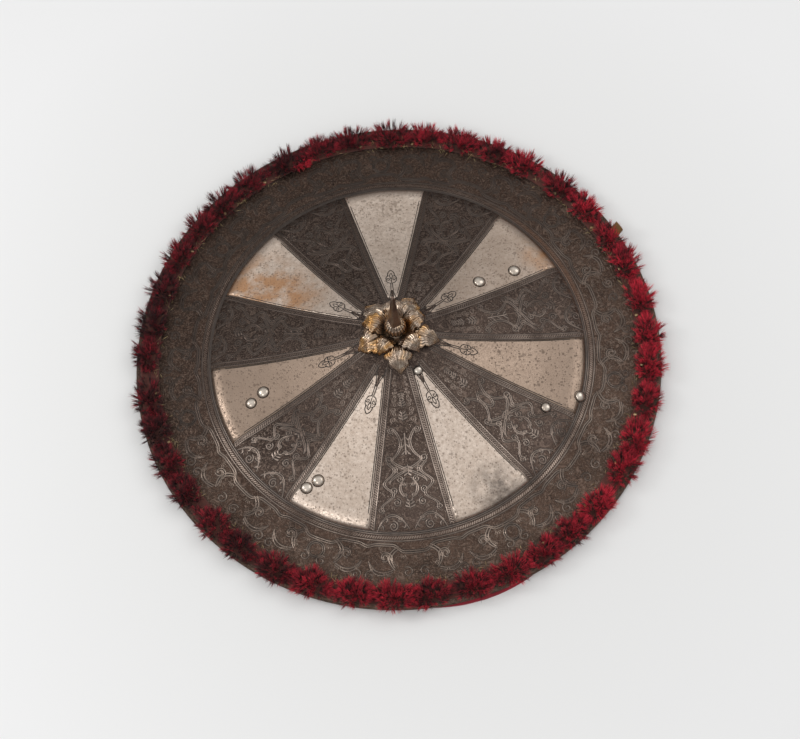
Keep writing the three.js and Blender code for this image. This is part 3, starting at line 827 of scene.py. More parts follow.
def brim_design():
    lines = Lines()
    draw = random.Random(7)
    for inset in (0.0, 2.2):
        path = []
        for i in range(841):
            degrees = 360 * i / 840
            from_middle = abs((degrees * BRIM_GROUPS / 360) % 1 - 0.5) * 2
            swell = 1 / (1 + math.exp((from_middle - 0.34) * 26))
            dimple = math.exp(-((from_middle - 1.0) / 0.12) ** 2)
            path.append(around(STRAP_R + inset + 7.5 * swell + 3.0 * dimple, degrees))
        lines.draw(path, 1.2)
    for g in range(BRIM_GROUPS):
        middle = 360 * (g + 0.5) / BRIM_GROUPS

        def ink(path, width=0.9, taper=False, dark_strip=DARK_STRIP_W):
            """Draws spots given as millimetres along the brim and out from the axis."""
            for flip in (-1, 1):
                spots = [around(r, middle + flip * math.degrees(s / ROUNDEL_AT)) for s, r in path]
                lines.draw(spots, width, taper=taper, dark_strip=dark_strip)

        for inset in (0.0, 2.2):
            ink(bow((18 - inset, 222 + inset), (22, 248 - inset), -9 + inset, 16), 1.2)
            ink(bow((24, 250 - inset), (50, 240), 9 - inset, 16), 1.2)
            ink(spiral(33, 235, 8.4 - inset, 160, 0.8 - 0.1 * inset, 1), 1.2)
        ink(spiral(33, 235, 4.4, 60, 1.1, 1), 1.2)
        ink(spiral(9, 250, 6.0, 300, 1.2, -1), 1.1)
        ink(spiral(47, 255, 5.4, 250, 1.2, 1), 1.1)
        for s, r, size, first in LEAF_SPRAYS:
            for k in range(4):
                turn = math.radians(first + 32 * k)
                foot = (s + 0.3 * size * math.cos(turn), r + 0.3 * size * math.sin(turn))
                tip = (s + size * math.cos(turn), r + size * math.sin(turn))
                ink(bow(foot, tip, 1.3, 4), 1.1, True, 0)
        if g % 2:
            ring = [(ROUNDEL_R * math.cos(a), ROUNDEL_AT + ROUNDEL_R * math.sin(a))
                    for a in (math.pi * i / 12 for i in range(-6, 7))]
            ink(ring)
            ink([(x * 0.78, ROUNDEL_AT + (y - ROUNDEL_AT) * 0.78) for x, y in ring])
        for i in range(BRIM_FILLERS):
            s, r = draw.uniform(0, 53), draw.uniform(224, 264)
            turn, length = draw.uniform(0, 2 * math.pi), draw.uniform(1.8, 4.2)
            ink(stroke(s, r, turn, length, draw.uniform(-1.1, 1.1), 3), 0.75, True, 0)
    return lines.made("brim_etching", line_steel, etched_black_and_shade)


brim_etching = brim_design()
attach(brim_etching, "root")


# Strap rivets
# Eight round-headed steel rivets hold the ends of the two arm straps, and a smaller one sits
# by the rosette. Their shanks pass plate and leather and are hammered over inside. A thin
# dark ring is drawn round each head where it meets the plate.

STRAP_RIVETS = [(-149.4, -37.0, 6.3), (-163.4, -47.4, 5.7), (-96.4, -143.5, 6.3), (-109.3, -149.8, 6.0),
                (97.2, 69.6, 6.4), (137.8, 84.0, 6.4), (154.4, -82.7, 5.2), (193.4, -70.6, 6.0)]
BOSS_RIVET = (20.2, -41.5, 4.6)


def turned_shape(name, profile, sides=28):
    """A shape turned about Z from a profile in millimetres that starts and ends on the axis."""
    points = [(0, 0, profile[0][1] * MM)]
    for r, z in profile[1:-1]:
        points += [(*(v * MM for v in around(r, 360 * j / sides)), z * MM) for j in range(sides)]
    points.append((0, 0, profile[-1][1] * MM))
    rows = len(profile) - 2
    faces = ring_faces(rows, sides, 1)
    last = 1 + (rows - 1) * sides
    faces += [(0, 1 + (j + 1) % sides, 1 + j) for j in range(sides)]
    faces += [(len(points) - 1, last + j, last + (j + 1) % sides) for j in range(sides)]
    return closed_piece(name, points, faces, [])


def polished_rivet():
    material, tree, shader, place = new_finish("Polished rivet", 1.0, 0.24)
    masks = metal_masks(tree, place, 0.006, 0.0009, 0.1)
    base = blend(tree, masks["Patches"], (210, 200, 188), (176, 163, 150))
    pitted = blend(tree, times(tree, masks["Pits"], 0.5), base, (96, 86, 78))
    paint(tree, shader, pitted, between(tree, masks["Mottle"], 0.0, 1.0, 0.22, 0.34))
    return material


def rivet_heads():
    foot = [(0, -6.6), (3.4, -6.6), (3.9, -6.2), (3.4, -5.4), (2, -5.3), (2, 0), (6, 0)]
    dome = [(6 * math.cos(a), 0.25 + 3.3 * math.sin(a)) for a in (math.pi / 2 * i / 9 for i in range(9))]
    spots, darkened = [], Lines()
    for x, y, size in STRAP_RIVETS + [BOSS_RIVET]:
        spots.append((on_face(x, y, 0.25), face_normal(x, y), 0.0, (size / 6,) * 3, 0.5))
        # A thin dark ring drawn round the head where it meets the plate.
        ring = [around(size + 0.35, 15 * i) for i in range(25)]
        darkened.draw([(x + a, y + b) for a, b in ring], 0.2, 0.14, PANEL_LIFT, dark_strip=0.3)
    shape = turned_shape("rivet", foot + dome + [(0, 3.55)])
    heads = pieces_on_points("rivet_heads", spots, shape, polished_rivet())
    return heads, darkened.made("dirt_round_rivets", etched_black_and_shade, etched_black_and_shade)


rivets, rivet_dark_rings = rivet_heads()
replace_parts(rivets, "boss_rivet", *[f"strap_rivet_{i}" for i in range(1, 9)])
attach(rivet_dark_rings, "root")


# Rosette
# Two tiers of five acanthus leaves, each tier sawn from one sheet of brass, embossed and
# gilded, stacked on the spike's tang. The gilding is worn to silver-grey in patches and
# black in the hollows. Each leaf is also painted darker towards its root, as shade under
# the tier or bulb above it.

LEAF_T = 0.9
LEAF_TEETH = 9
SEAT_SIDES = 60


def worn_gilding():
    material, tree, shader, place = new_finish("Worn gilding", 1.0, 0.3)
    masks = metal_masks(tree, place, 0.017, 0.0012, 0.4)
    hollows_and_root_shade = kept_value(tree, "tone")
    silver = blend(tree, masks["Mottle"], (154, 137, 121), (230, 217, 200))
    golden = blend(tree, masks["Mottle"], (154, 108, 64), (220, 174, 114))
    brightened = between(tree, clouds(tree, place, 60.0, 4.0), 0.38, 0.58)
    gold = blend(tree, brightened, golden, silver)
    dulled = blend(tree, times(tree, masks["Patches"], 0.6), gold, (124, 94, 74))
    # Dark in the hollows, as patina, and towards each leaf's root, as painted shade under the tier above.
    dark = greater(tree, between(tree, hollows_and_root_shade, 0.36, 1.0, 0.0, 0.8), times(tree, masks["Pits"], 0.5))
    paint(tree, shader, blend(tree, dark, dulled, (60, 47, 38)), between(tree, hollows_and_root_shade, 0.0, 1.0, 0.14, 0.5))
    bump(tree, shader, masks["Mottle"], 0.0002, 0.4)
    return material


gilding = worn_gilding()


def leaf_edge(t):
    """Half width of a leaf from its stalk to its tip: three lobes a side, each cut into teeth."""
    lobe = abs(math.sin(math.pi * (3.1 * t + 0.16))) ** 0.6
    tooth = abs(math.sin(math.pi * LEAF_TEETH * t)) ** 0.7
    body = math.sin(math.pi * min(1.0, 0.14 + 0.86 * t ** 0.8)) ** (0.5 + 0.4 * t) if t < 1 else 0.0
    return max(0.015, body * (0.63 + 0.3 * lobe + 0.07 * tooth))


def leaf_tier(name, first_azimuth, seat, reach, half_width, crown, crown_at, tip_lift, base, seed):
    """One sheet with five embossed leaves round a flat seat."""
    points, faces, tones = [], [], []
    rows, columns = 40, 41
    draw = random.Random(seed)
    for n in range(5):
        azimuth = first_azimuth + 72 * n + draw.uniform(-3, 3)
        length, width = (reach - seat) * draw.uniform(0.94, 1.04), half_width * draw.uniform(0.9, 1.08)
        droop, lean, roll = draw.uniform(-2.0, 2.0), draw.uniform(-0.1, 0.1), draw.uniform(-1.6, 1.6)
        first = len(points)
        for i in range(rows):
            t = i / (rows - 1)
            half = width * leaf_edge(t)
            for j in range(columns):
                s = -1 + 2 * j / (columns - 1)
                ahead = t + 0.16 * abs(s) ** 1.3 * (1 - t) * math.sin(math.pi * t) ** 0.5
                x = seat + length * ahead
                y = s * half + lean * length * t * t
                out = min(1.0, (x - seat) / (reach - seat))
                if out < crown_at:
                    lift = crown * math.sin(math.pi / 2 * out / crown_at)
                else:
                    past = (out - crown_at) / (1 - crown_at)
                    lift = crown - (crown - tip_lift + droop) * past * past
                lobe = math.cos(2 * math.pi * (3.1 * t + 0.16 - 0.4 * abs(s)))
                ridge = math.cos(2 * math.pi * 4.5 * abs(s))
                groove = math.exp(-(s / 0.05) ** 2)
                open_up = min(1.0, 4 * t)
                fold = 2.4 * (1 - (abs(s) - 0.42) ** 2 * 3.4) * half / 14
                curl = 1.5 * max(0.0, abs(s) - 0.6) ** 2 * 6.25 * math.sin(5 * t + 2 * s + n)
                z = lift + (fold + roll * s * t + 0.3 * lobe + 0.36 * ridge + curl) * open_up
                z -= 0.9 * groove * (1 - 0.5 * t)
                px, py = turned_spot(x, y, azimuth)
                points.append((px * MM, py * MM, (face_height(math.hypot(x, y)) + base + z) * MM))
                # Tones: the embossing's hollows, plus painted shade towards the leaf's root, under the tier
                # or bulb above.
                deep = 0.24 - 0.12 * lobe - 0.36 * ridge + 0.6 * groove
                tones.append(min(1.0, max(0.0, deep + 0.6 * (1 - min(1.0, 2.4 * t)))))
        under = len(points)
        points += [(x, y, z - LEAF_T * MM) for x, y, z in points[first:under]]
        tones += tones[first:under]
        faces += sheet_faces(rows, columns, first, under)
    seat_from = len(points)
    # The seat is painted dark, as shade under the tier or bulb above it.
    for r, z in ((TANG_HOLE_R, LEAF_T), (seat + 2.5, LEAF_T), (seat + 2.5, 0), (TANG_HOLE_R, 0)):
        for j in range(SEAT_SIDES):
            x, y = around(r, 360 * j / SEAT_SIDES)
            points.append((x * MM, y * MM, (face_height(r) + base + z - LEAF_T) * MM))
            tones.append(0.8)
    faces += ring_faces(4, SEAT_SIDES, seat_from, loop=True)
    piece = closed_piece(name, points, faces, [gilding], tones=tones)
    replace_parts(piece, name.replace("_of_rosette", ""))
    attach(piece, "root")


leaf_tier("outer_leaves_of_rosette", -88, seat=12, reach=47, half_width=16.5, crown=10, crown_at=0.55,
          tip_lift=4, base=1.8, seed=3)
leaf_tier("inner_leaves_of_rosette", -52, seat=9.5, reach=36, half_width=12.0, crown=17, crown_at=0.7,
          tip_lift=11, base=3.6, seed=5)


# Gadrooned bulb
# A cast brass bulb chased with upright ribs, gilded like the leaves and black between the
# ribs. Its pocket takes the foot of the spike.

BULB_R = 12.0
BULB_LOW = 75.5
BULB_TALL = 17.0
BULB_RIBS = 18
BULB_PROFILE = [(0.36, -0.02), (0.72, 0.0), (0.84, 0.07), (0.94, 0.17), (1.0, 0.3), (1.0, 0.44), (0.97, 0.58),
                (0.91, 0.71), (0.83, 0.82), (0.73, 0.91), (0.62, 0.97), (0.5, 1.0), (0.36, 0.99)]


def gadrooned_bulb():
    points, tones = [], []
    columns = BULB_RIBS * 12
    for r, up in BULB_PROFILE:
        ribbed = min(1.0, max(0.0, (r - 0.45) / 0.3)) if up > 0.03 else 0.0
        for j in range(columns):
            wave = abs(math.sin(math.pi * j * BULB_RIBS / columns))
            dip = ribbed * (1 - wave ** 0.6)
            x, y = around(BULB_R * (r - 0.08 * dip), 360 * j / columns)
            points.append((x * MM, y * MM, (BULB_LOW + BULB_TALL * (up - 0.05 * dip * up)) * MM))
            tones.append(min(1.0, 1.5 * ribbed * (1 - wave) ** 2 + 0.05))
    faces = ring_faces(len(BULB_PROFILE), columns, loop=True)
    return closed_piece("gadrooned_bulb_of_rosette", points, faces, [gilding], tones=tones)


bulb = gadrooned_bulb()
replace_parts(bulb, "gadrooned_bulb")
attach(bulb, "root")


# Spike
# A square steel spike, forged in one with the tang that holds the rosette. Its corners are
# rubbed bright and its faces are dark.

SPIKE_W = 12.0
SPIKE_TIP_W = 3.2
SPIKE_TURN = 20.0
SPIKE_FOOT = 92.0
SPIKE_TIP = 153.0


def dark_spike():
    material, tree, shader, place = new_finish("Dark spike", 1.0, 0.34)
    masks = metal_masks(tree, place, 0.02, 0.0015, 0.36)
    base = blend(tree, masks["Patches"], (104, 82, 72), (142, 118, 104))
    corner = times(tree, kept_value(tree, "tone"), masks["Mottle"])
    brightened = blend(tree, corner, base, (190, 178, 164))
    pitted = blend(tree, times(tree, masks["Pits"], 0.8), brightened, (48, 38, 32))
    paint(tree, shader, pitted, between(tree, masks["Mottle"], 0.0, 1.0, 0.26, 0.46))
    return material


def square_spot(half, step, steps):
    """Spot on a square with rounded corners, and how near a corner it is."""
    angle = 2 * math.pi * step / steps
    c, s = math.cos(angle), math.sin(angle)
    radius = half / ((abs(c) ** 9 + abs(s) ** 9) ** (1 / 9))
    return radius * c, radius * s, abs(math.sin(2 * angle)) ** 14


def spike_piece():
    points, tones = [], []
    columns, sides = 64, 24
    rings = []
    for i in range(25):
        share = i / 24
        half = (SPIKE_W + (SPIKE_TIP_W - SPIKE_W) * share ** 0.94) / 2
        rings.append((half, SPIKE_FOOT + (SPIKE_TIP - 1.2 - SPIKE_FOOT) * share))
    rings += [(0.9, SPIKE_TIP - 0.4), (0.4, SPIKE_TIP)]
    for half, z in rings:
        for j in range(columns):
            x, y, near = square_spot(half, j, columns)
            x, y = turned_spot(x, y, SPIKE_TURN)
            points.append((x * MM, y * MM, z * MM))
            tones.append(near)
    last, first = len(points) - columns, len(points)
    faces = ring_faces(len(rings), columns)
    faces += [tuple(range(columns)), tuple(range(last, first))]
    tang = [(7.2, 65.9), (8.6, 67.0), (9.0, 68.9), (3.6, 68.9), (3.6, SPIKE_FOOT + 0.5)]
    for r, z in tang:
        points += [(*(v * MM for v in around(r, 360 * j / sides)), z * MM) for j in range(sides)]
    tones += [0.0] * (len(points) - first)
    faces += ring_faces(len(tang), sides, first)
    faces += [tuple(range(first, first + sides)), tuple(range(len(points) - sides, len(points)))]
    return closed_piece("square_spike", points, faces, [dark_spike()], tones=tones)


spike = spike_piece()
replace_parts(spike, "spike")
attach(spike, "root")


# Lining band
# A strip of crimson cloth pasted inside the brim and turned under the edge. It has slipped
# out past the edge at the lower right and is frayed there.

LINING_IN = 254.0
LINING_OUT = 288.5
LINING_T = 1.2
LINING_COLUMNS = 240
TONGUE_AZIMUTH = 284


def woven(name, warp, weft, worn, thread, fuzz=0.4):
    """Plain cloth: threads over and under, with faded patches."""
    material, tree, shader, place = new_finish(name, 0.0, 0.9, Sheen_Weight=fuzz, Sheen_Roughness=0.5)
    sockets = {"Vector": place, "Scale": thread, "Distortion": 1.2}
    threads = [put(tree, "ShaderNodeTexWave", sockets, bands_direction=way).outputs["Fac"]
               for way in ("X", "Y")]
    weave = times(tree, *threads)
    faded = times(tree, between(tree, clouds(tree, place, 60.0, 5.0), 0.42, 0.66), 0.6)
    paint(tree, shader, blend(tree, faded, blend(tree, weave, warp, weft), worn))
    bump(tree, shader, weave, 0.0002, 0.8)
    return material


def lining_band():
    points = []
    for side in (0, 1):
        rows = []
        for i in range(13):
            r = LINING_IN + (281.0 - LINING_IN) * (i / 12)
            rows.append((r, face_height(r) - PLATE_T - 0.35 - LINING_T * (1 - side), 0))
        rows += [(282.2 + 1.2 * side, 1.4 + 0.5 * side, 0), (283.6 + side, LINING_T * side, 0),
                 (286.0, LINING_T * side, 0), (LINING_OUT, LINING_T * side, 1)]
        if side:
            rows.reverse()
        for r, z, lip in rows:
            for j in range(LINING_COLUMNS):
                degrees = 360 * j / LINING_COLUMNS
                away = (degrees - TONGUE_AZIMUTH + 180) % 360 - 180
                tongue = max(0.0, 1 - (away / 12) ** 2)
                coarse = noise.noise(Vector((degrees * 0.8, 3, 0)))
                fine = noise.noise(Vector((degrees * 3, 9, 0)))
                reach = r + lip * (4.2 * tongue + 0.7 * (0.5 * coarse + 0.35 * fine))
                x, y = around(reach, degrees)
                points.append((x * MM, y * MM, max(0.0, z) * MM))
    faces = ring_faces(len(points) // LINING_COLUMNS, LINING_COLUMNS, loop=True)
    cloth = woven("Lining cloth", (150, 26, 44), (176, 40, 60), (112, 30, 36), 420.0)
    return closed_piece("cloth_lining", points, faces, [cloth])


lining = lining_band()
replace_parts(lining, "lining_band")
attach(lining, "root")


# Fringe braid
# A woven braid laid on the brim's outer edge, red-brown with straw-coloured threads. The
# fringe is sewn to it, and small nails hold it to the plate.

BRAID_IN = 264.5
BRAID_OUT = 285.0
BRAID_T = 1.2


def braid_height(r):
    return face_height(min(r, RIM_R - BEAD_R)) + 0.5 + BRAID_T


def fringe_braid():
    points, columns, across = [], 720, 11
    for i in range(across):
        share = i / (across - 1)
        r0 = BRAID_IN + (BRAID_OUT - BRAID_IN) * share
        crown = -0.5 * abs(2 * share - 1) ** 3
        for j in range(columns):
            degrees = 360 * j / columns
            weave = math.sin(math.pi * (j / 2 + i)) * 0.22
            wander = 0.7 * noise.noise(Vector((degrees / 9, 0.5, 2)))
            x, y = around(r0 + wander, degrees)
            points.append((x * MM, y * MM, (braid_height(r0) + weave + crown) * MM))
    for i in range(across - 1, -1, -1):
        for x, y, z in points[i * columns:(i + 1) * columns]:
            seated = (face_height(math.hypot(x, y) / MM) + 0.15) * MM
            points.append((x, y, seated if i in (0, across - 1) else z - 0.8 * MM))
    faces = ring_faces(2 * across, columns, loop=True)
    cloth = woven("Red-brown braid", (78, 36, 32), (104, 66, 50), (52, 34, 28), 300.0, 0.1)
    return closed_piece("woven_braid", points, faces, [cloth])


braid = fringe_braid()
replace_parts(braid, "fringe_braid")
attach(braid, "root")


# Braid nails
# Twenty-eight small brass-headed nails, evenly spaced round the inner edge of the braid.
# They are dull and pitted.

NAIL_R = 268.0
NAIL_COUNT = 28


def dull_brass():
    material, tree, shader, place = new_finish("Dull brass", 1.0, 0.32)
    masks = metal_masks(tree, place, 0.02, 0.0008, 0.4)
    base = blend(tree, masks["Patches"], (178, 158, 122), (128, 104, 76))
    pitted = blend(tree, times(tree, masks["Pits"], 0.7), base, (62, 48, 36))
    paint(tree, shader, pitted, between(tree, masks["Mottle"], 0.0, 1.0, 0.26, 0.5))
    return material


def braid_nails():
    dome = [(2.3 * math.cos(a), 0.2 + 1.5 * math.sin(a)) for a in (math.pi / 2 * i / 5 for i in range(5))]
    spots = []
    for i in range(NAIL_COUNT):
        x, y = around(NAIL_R, 4.6 + 360 * i / NAIL_COUNT)
        place = (x * MM, y * MM, (braid_height(NAIL_R) + 0.3) * MM)
        spots.append((place, face_normal(x, y), 0.0, (1, 1, 1), 0.5))
    shape = turned_shape("nail", [(0, -0.9), (2.2, -0.9)] + dome + [(0, 1.7)], 16)
    return pieces_on_points("braid_nails", spots, shape, dull_brass())


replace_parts(braid_nails(), *[f"edge_nail_{i:02d}" for i in range(1, NAIL_COUNT + 1)])


# Fringe
# Crimson wool in cut tufts, sewn to the braid at uneven spacings. Each tuft is a clump of
# yarns that spread from a tight foot, and each yarn has frayed into a spike of fibres. Ends
# of the straw-coloured sewing thread show between the tufts.

FRINGE_R = 278.0
TUFT_COUNT = 41
TUFT_SEED = 21
YARNS_IN_TUFT = 130
YARNS_BETWEEN = 9
FIBRES_IN_YARN = 10
YARN_LENGTH = 15.0
# Azimuth towards which the yarns are painted brighter, as light from that side.
PAINTED_LIGHT_AZIMUTH = -20
BRIGHT_BUNCH_AZIMUTH = 109.5
YARNS_IN_BRIGHT_BUNCH = 30
MESH_COUNT = 3


def crimson_wool():
    """Wool painted dark at its foot as shade inside the tuft, brighter in some yarns than in others, and
    painted brighter towards the right as light.
    """
    sheen = {"Sheen_Weight": 0.06, "Sheen_Roughness": 0.4}
    material, tree, shader, place = new_finish("Crimson wool", 0.0, 0.85, **sheen)
    tip = blend(tree, between(tree, kept_value(tree, "tone"), 0.0, 1.0), (66, 16, 20), (246, 50, 74))
    # Painted shade: each fibre is darkened towards its foot, inside the tuft.
    up = between(tree, kept_value(tree, "along"), 0.2, 0.95)
    paint(tree, shader, blend(tree, up, (16, 3, 5), tip))
    return material


def fibre_shape(name, waist, bend):
    """One fibre a unit long: three-sided, widest at its waist and drawn to a bent point."""
    points = [(0, 0, 0)]
    points += [((bend + waist * math.cos(a)) * MM, waist * math.sin(a) * MM, 0.45 * MM)
               for a in (2 * math.pi * j / 3 for j in range(3))]
    points.append((3 * bend * MM, 0, MM))
    faces = [(0, 1 + (j + 1) % 3, 1 + j) for j in range(3)] + [(1 + j, 1 + (j + 1) % 3, 4) for j in range(3)]
    piece = new_piece(name, points, faces, [])
    layer = piece.data.attributes.new("along", "FLOAT", "POINT")
    layer.data.foreach_set("value", [0.0, 0.5, 0.5, 0.5, 1.0])
    return piece


def tuft_places():
    """Azimuth, size and brightness of each tuft, going round."""
    draw = random.Random(TUFT_SEED)
    places = []
    for i in range(TUFT_COUNT):
        degrees = 360 * (i + draw.uniform(-0.13, 0.13)) / TUFT_COUNT
        places.append((degrees, draw.uniform(0.9, 1.12), draw.uniform(-0.24, 0.18)))
    return places


def fibres_of_yarn(draw, degrees, along, across, lean, length, tone):
    """Spots of the fibres of one yarn, from its foot in the fringe and the way that it leans."""
    spots = []
    turn = degrees + math.degrees(along / FRINGE_R)
    outward, sideways = Vector((*around(1, turn), 0)), Vector((*around(1, turn + 90), 0))
    for n in range(FIBRES_IN_YARN):
        x, y = around(FRINGE_R + across + draw.gauss(0, 0.5), turn + draw.gauss(0, 0.1))
        z = braid_height(min(math.hypot(x, y), BRAID_OUT)) - 0.4
        side, out = lean[0] + draw.gauss(0, 0.13), lean[1] + draw.gauss(0, 0.13)
        direction = (Vector((0, 0, 1)) + sideways * side + outward * out).normalized()
        thick = draw.uniform(0.7, 1.2)
        size = (thick, thick, length * draw.uniform(0.8, 1.05))
        spots.append(((x * MM, y * MM, z * MM), direction, draw.uniform(0, 2 * math.pi), size,
                      min(1.0, max(0.0, tone + draw.gauss(0, 0.1)))))
    return spots


def fringe_fibres():
    draw = random.Random(99)
    spots = []
    for degrees, size, bright in tuft_places():
        # Painted light: yarns are brighter towards the right, where the light falls.
        painted_light = math.cos(math.radians(degrees - PAINTED_LIGHT_AZIMUTH))
        for n in range(YARNS_IN_TUFT):
            spread, heading = draw.uniform(0, 1) ** 0.6, draw.uniform(0, 2 * math.pi)
            c, s = math.cos(heading), math.sin(heading)
            along, across = 18.2 * size * spread * c, 11.0 * spread * s - 0.6
            steep = 1.15 * spread ** 1.5
            lean = (steep * c + draw.gauss(0, 0.12), steep * s + draw.gauss(0.05, 0.12))
            length = YARN_LENGTH * size ** 0.5 * draw.uniform(0.66, 1.05)
            tone = draw.gauss(0.37 + 0.9 * bright + 0.34 * painted_light, 0.26 + 0.07 * painted_light)
            spots += fibres_of_yarn(draw, degrees, along, across, lean, length, tone)
        for n in range(YARNS_BETWEEN):
            lean = (draw.gauss(0, 0.4), draw.gauss(0.1, 0.4))
            spots += fibres_of_yarn(draw, degrees + 180 / TUFT_COUNT, draw.gauss(0, 4),
                                    draw.uniform(-6, 6), lean, 10.0, draw.gauss(0.25, 0.2))
    for n in range(YARNS_IN_BRIGHT_BUNCH):
        lean = (draw.gauss(-0.2, 0.5), draw.gauss(-0.9, 0.4))
        spots += fibres_of_yarn(draw, BRIGHT_BUNCH_AZIMUTH, draw.gauss(0, 4.5), draw.uniform(-13, -6),
                                lean, draw.uniform(10, 17), draw.gauss(0.85, 0.15))
    return spots


wool = crimson_wool()
fibre_spots = fringe_fibres()
part = len(fibre_spots) // MESH_COUNT + 1
for n in range(MESH_COUNT):
    tufts = pieces_on_points(f"fringe_tufts_{n + 1}", fibre_spots[n * part:(n + 1) * part],
                             fibre_shape("fibre", 0.26, 0.5), wool)
    if n == 0:
        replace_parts(tufts, "edge_fringe")


def straw_thread():
    material, tree, shader, place = new_finish("Straw thread", 0.0, 0.8)
    paint(tree, shader, blend(tree, kept_value(tree, "tone"), (116, 96, 62), (196, 172, 124)))
    return material


def straw_ends():
    draw = random.Random(31)
    spots = []
    for tuft in tuft_places():
        for n in range(draw.randint(5, 15)):
            turn = tuft[0] + 180 / TUFT_COUNT + draw.gauss(0, 1.2)
            x, y = around(draw.uniform(261, 270), turn)
            heading = draw.uniform(0, 2 * math.pi)
            direction = Vector((math.cos(heading), math.sin(heading), draw.uniform(0.05, 0.7))).normalized()
            place = (x * MM, y * MM, (braid_height(math.hypot(x, y)) + 0.2) * MM)
            spots.append((place, direction, draw.uniform(0, 6), (1, 1, draw.uniform(4, 10)), draw.random()))
    return spots


straw = fibre_shape("straw", 0.3, 0.9)
pieces_on_points("straw_thread_ends", straw_ends(), straw, straw_thread())


# Torn webbing
# A scrap of old straw-coloured webbing that sticks out from under the fringe at the far
# right, ragged at its outer end.

SCRAP_R = 281
SCRAP_AZIMUTH = 24.6
SCRAP_Z = 11.0


def torn_scrap():
    points, rows = [], 9
    for lift in (0.0, -0.9):
        for i in range(rows):
            for j in range(rows):
                u, v = i / (rows - 1), j / (rows - 1)
                ragged = 0.9 * noise.noise(Vector((4 * v, 8 * u, 1)))
                x, y = around(SCRAP_R + 11.0 * u + ragged * u, SCRAP_AZIMUTH + 2.6 * v + 0.35 * u)
                points.append((x * MM, y * MM, (SCRAP_Z + lift + 10.0 * u + 0.9 * math.sin(5 * v)) * MM))
    faces = sheet_faces(rows, rows, 0, rows * rows)
    cloth = woven("Straw webbing", (104, 74, 36), (140, 102, 52), (84, 60, 30), 300.0, 0.1)
    return closed_piece("torn_webbing", points, faces, [cloth])


scrap = torn_scrap()
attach(scrap, "root")


# Arm straps
# Two bands of brown leather, slack under the plate, folded close by the surface that the
# shield lies on, with a line of stitches along each edge.

STRAP_T = 2.2
STRAP_FREE_Z = 4.7
STITCH_INSET = 3.0


def old_leather():
    material, tree, shader, place = new_finish("Old leather", 0.0, 0.55)
    cracks = between(tree, cells(tree, place, 900.0, feature="DISTANCE_TO_EDGE")["Distance"], 0.0, 0.12)
    stain = clouds(tree, place, 40.0, 6.0)
    hide = blend(tree, between(tree, stain, 0.35, 0.65), (66, 40, 26), (116, 74, 46))
    paint(tree, shader, blend(tree, cracks, (38, 24, 16), hide), between(tree, stain, 0.3, 0.7, 0.42, 0.68))
    bump(tree, shader, cracks, 0.0003, 0.6)
    return material


leather = old_leather()


def arm_strap(name, node, rivet_pairs, stitches):
    """A strap between two pairs of rivets, seated on the plate at its ends and slack between."""
    start, stop = [Vector(((a[0] + b[0]) / 2, (a[1] + b[1]) / 2)) for a, b in rivet_pairs]
    along = (stop - start).normalized()
    across = Vector((-along.y, along.x))
    span = (stop - start).length
    width = max(math.dist(a[:2], b[:2]) for a, b in rivet_pairs) + 18
    length = span + 24
    slack_half = span / 2 - 21.8
    rows, columns = 60, 18

    def spot(s, side):
        """Place in millimetres at a distance from the strap's middle and from edge to edge."""
        round_end = max(0.0, abs(s) - (length / 2 - 6)) / 6
        half = width / 2 * (1 - 0.22 * round_end ** 2)
        middle = (start + stop) / 2 + along * s + across * half * side
        seated = face_height(middle.length + 9) - PLATE_T - 1.3
        free = max(0.0, 1 - abs(s) / slack_half)
        share = math.sin(math.pi / 2 * min(1.0, free / 0.6))
        return middle.x, middle.y, seated + (STRAP_FREE_Z - seated) * share

    points = []
    for i in range(rows):
        s = -length / 2 + length * i / (rows - 1)
        upper = [spot(s, -1 + 2 * j / (columns - 1)) for j in range(columns)]
        points += [(x * MM, y * MM, z * MM) for x, y, z in upper]
        points += [(x * MM, y * MM, (z - STRAP_T) * MM) for x, y, z in reversed(upper)]
        if i % 3 == 1:
            for side in (-1, 1):
                x, y, z = spot(s, side * (1 - 2 * STITCH_INSET / width))
                stitches.append(((x * MM, y * MM, (z - STRAP_T) * MM), Vector((0, 0, -1)),
                                 -math.atan2(along.y, along.x), (1, 1, 1), 0.5))
    loop = 2 * columns
    faces = ring_faces(rows, loop)
    faces += [tuple(range(loop)), tuple(range((rows - 1) * loop, rows * loop))]
    piece = closed_piece(name, points, faces, [leather])
    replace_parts(piece, node)
    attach(piece, "root")


stitch_spots = []
arm_strap("leather_arm_strap", "arm_strap", (STRAP_RIVETS[4:6], STRAP_RIVETS[6:]), stitch_spots)
arm_strap("leather_hand_strap", "hand_strap", (STRAP_RIVETS[:2], STRAP_RIVETS[2:4]), stitch_spots)


def linen_thread():
    material, tree, shader, place = new_finish("Linen thread", 0.0, 0.85)
    paint(tree, shader, blend(tree, clouds(tree, place, 900.0), (150, 124, 88), (196, 172, 130)))
    return material


pieces_on_points("strap_stitches", stitch_spots, bar_shape(5.0, 1.1, 0.5), linen_thread())


# Floor, light and camera
# The shield lies on a pale floor under three soft lamps and a pale sky that is brightest
# overhead, seen from in front and high above, as in the photo.

FLOOR_HALF = 40.0
BACKDROP = 0.86
CAMERA_LENS = 81.49
CAMERA_AWAY = 1.99976
CAMERA_RISE = math.radians(66.148)
CAMERA_ROLL = math.radians(-5.088)
CAMERA_AIM = Vector((1.08, -14.38, 0)) * MM


def floor():
    corners = [(FLOOR_HALF * x, FLOOR_HALF * y, 0) for x, y in ((-1, -1), (1, -1), (1, 1), (-1, 1))]
    material, tree, shader, place = new_finish("Pale floor", 0.0, 0.9)
    # Painted shadow: the floor is darker near the shield, as a soft shadow round it.
    away = between(tree, distance_from_axis(tree, place), 0.3, 0.56)
    paint(tree, shader, blend(tree, away, (230, 230, 229), (237, 237, 237)))
    new_piece("floor", corners, [(0, 1, 2, 3)], [material], smooth=False)


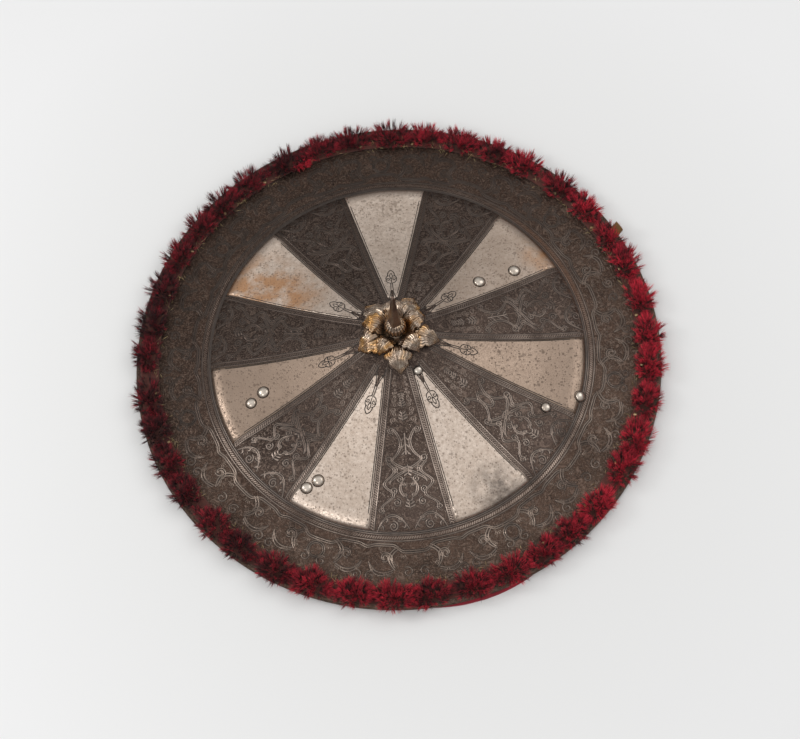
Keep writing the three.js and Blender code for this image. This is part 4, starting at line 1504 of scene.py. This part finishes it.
def soft_light(name, place, size, watts):
    """A round lamp that points at the shield."""
    lamp = bpy.data.lights.new(name, "AREA")
    lamp.shape = "DISK"
    lamp.size = size
    lamp.energy = watts
    light = bpy.data.objects.new(name, lamp)
    light.location = place
    light.rotation_euler = (-Vector(place)).to_track_quat("-Z", "Y").to_euler()
    bpy.context.scene.collection.objects.link(light)


def pale_sky():
    """A sky that lights the shield by its height, and that the camera sees as one even tone."""
    world = bpy.data.worlds.new("studio")
    world.use_nodes = True
    sky = world.node_tree
    direction = sky.nodes.new("ShaderNodeTexCoord").outputs["Generated"]
    height = put(sky, "ShaderNodeSeparateXYZ", {0: direction}).outputs[2]
    glow = between(sky, height, 0.05, 0.9, 0.18, 0.95)
    to_camera = sky.nodes.new("ShaderNodeLightPath").outputs["Is Camera Ray"]
    strength = put(sky, "ShaderNodeMix", {0: to_camera, 2: glow, 3: BACKDROP}, data_type="FLOAT").outputs[0]
    background = sky.nodes["Background"]
    sky.links.new(strength, background.inputs["Strength"])
    background.inputs["Color"].default_value = (1, 1, 1, 1)
    bpy.context.scene.world = world


def camera():
    back = Vector((0, -math.cos(CAMERA_RISE), math.sin(CAMERA_RISE)))
    right = Vector((1, 0, 0))
    up = back.cross(right)
    across = right * math.cos(CAMERA_ROLL) + up * math.sin(CAMERA_ROLL)
    upward = up * math.cos(CAMERA_ROLL) - right * math.sin(CAMERA_ROLL)
    lens = bpy.data.cameras.new("camera")
    lens.lens = CAMERA_LENS
    lens.sensor_width = 36
    lens.sensor_fit = "HORIZONTAL"
    eye = bpy.data.objects.new("camera", lens)
    place = CAMERA_AIM + back * CAMERA_AWAY
    eye.matrix_world = Matrix([[across[i], upward[i], back[i], place[i]] for i in range(3)] + [[0, 0, 0, 1]])
    bpy.context.scene.collection.objects.link(eye)
    bpy.context.scene.camera = eye


floor()
soft_light("light_left", (-1.6, 0.25, 1.2), 0.6, 7)
soft_light("light_right", (1.6, 0.5, 1.6), 1.5, 8)
soft_light("light_front", (-0.9, -1.1, 1.8), 0.7, 5)
pale_sky()
bpy.context.scene.view_settings.view_transform = "Standard"
camera()
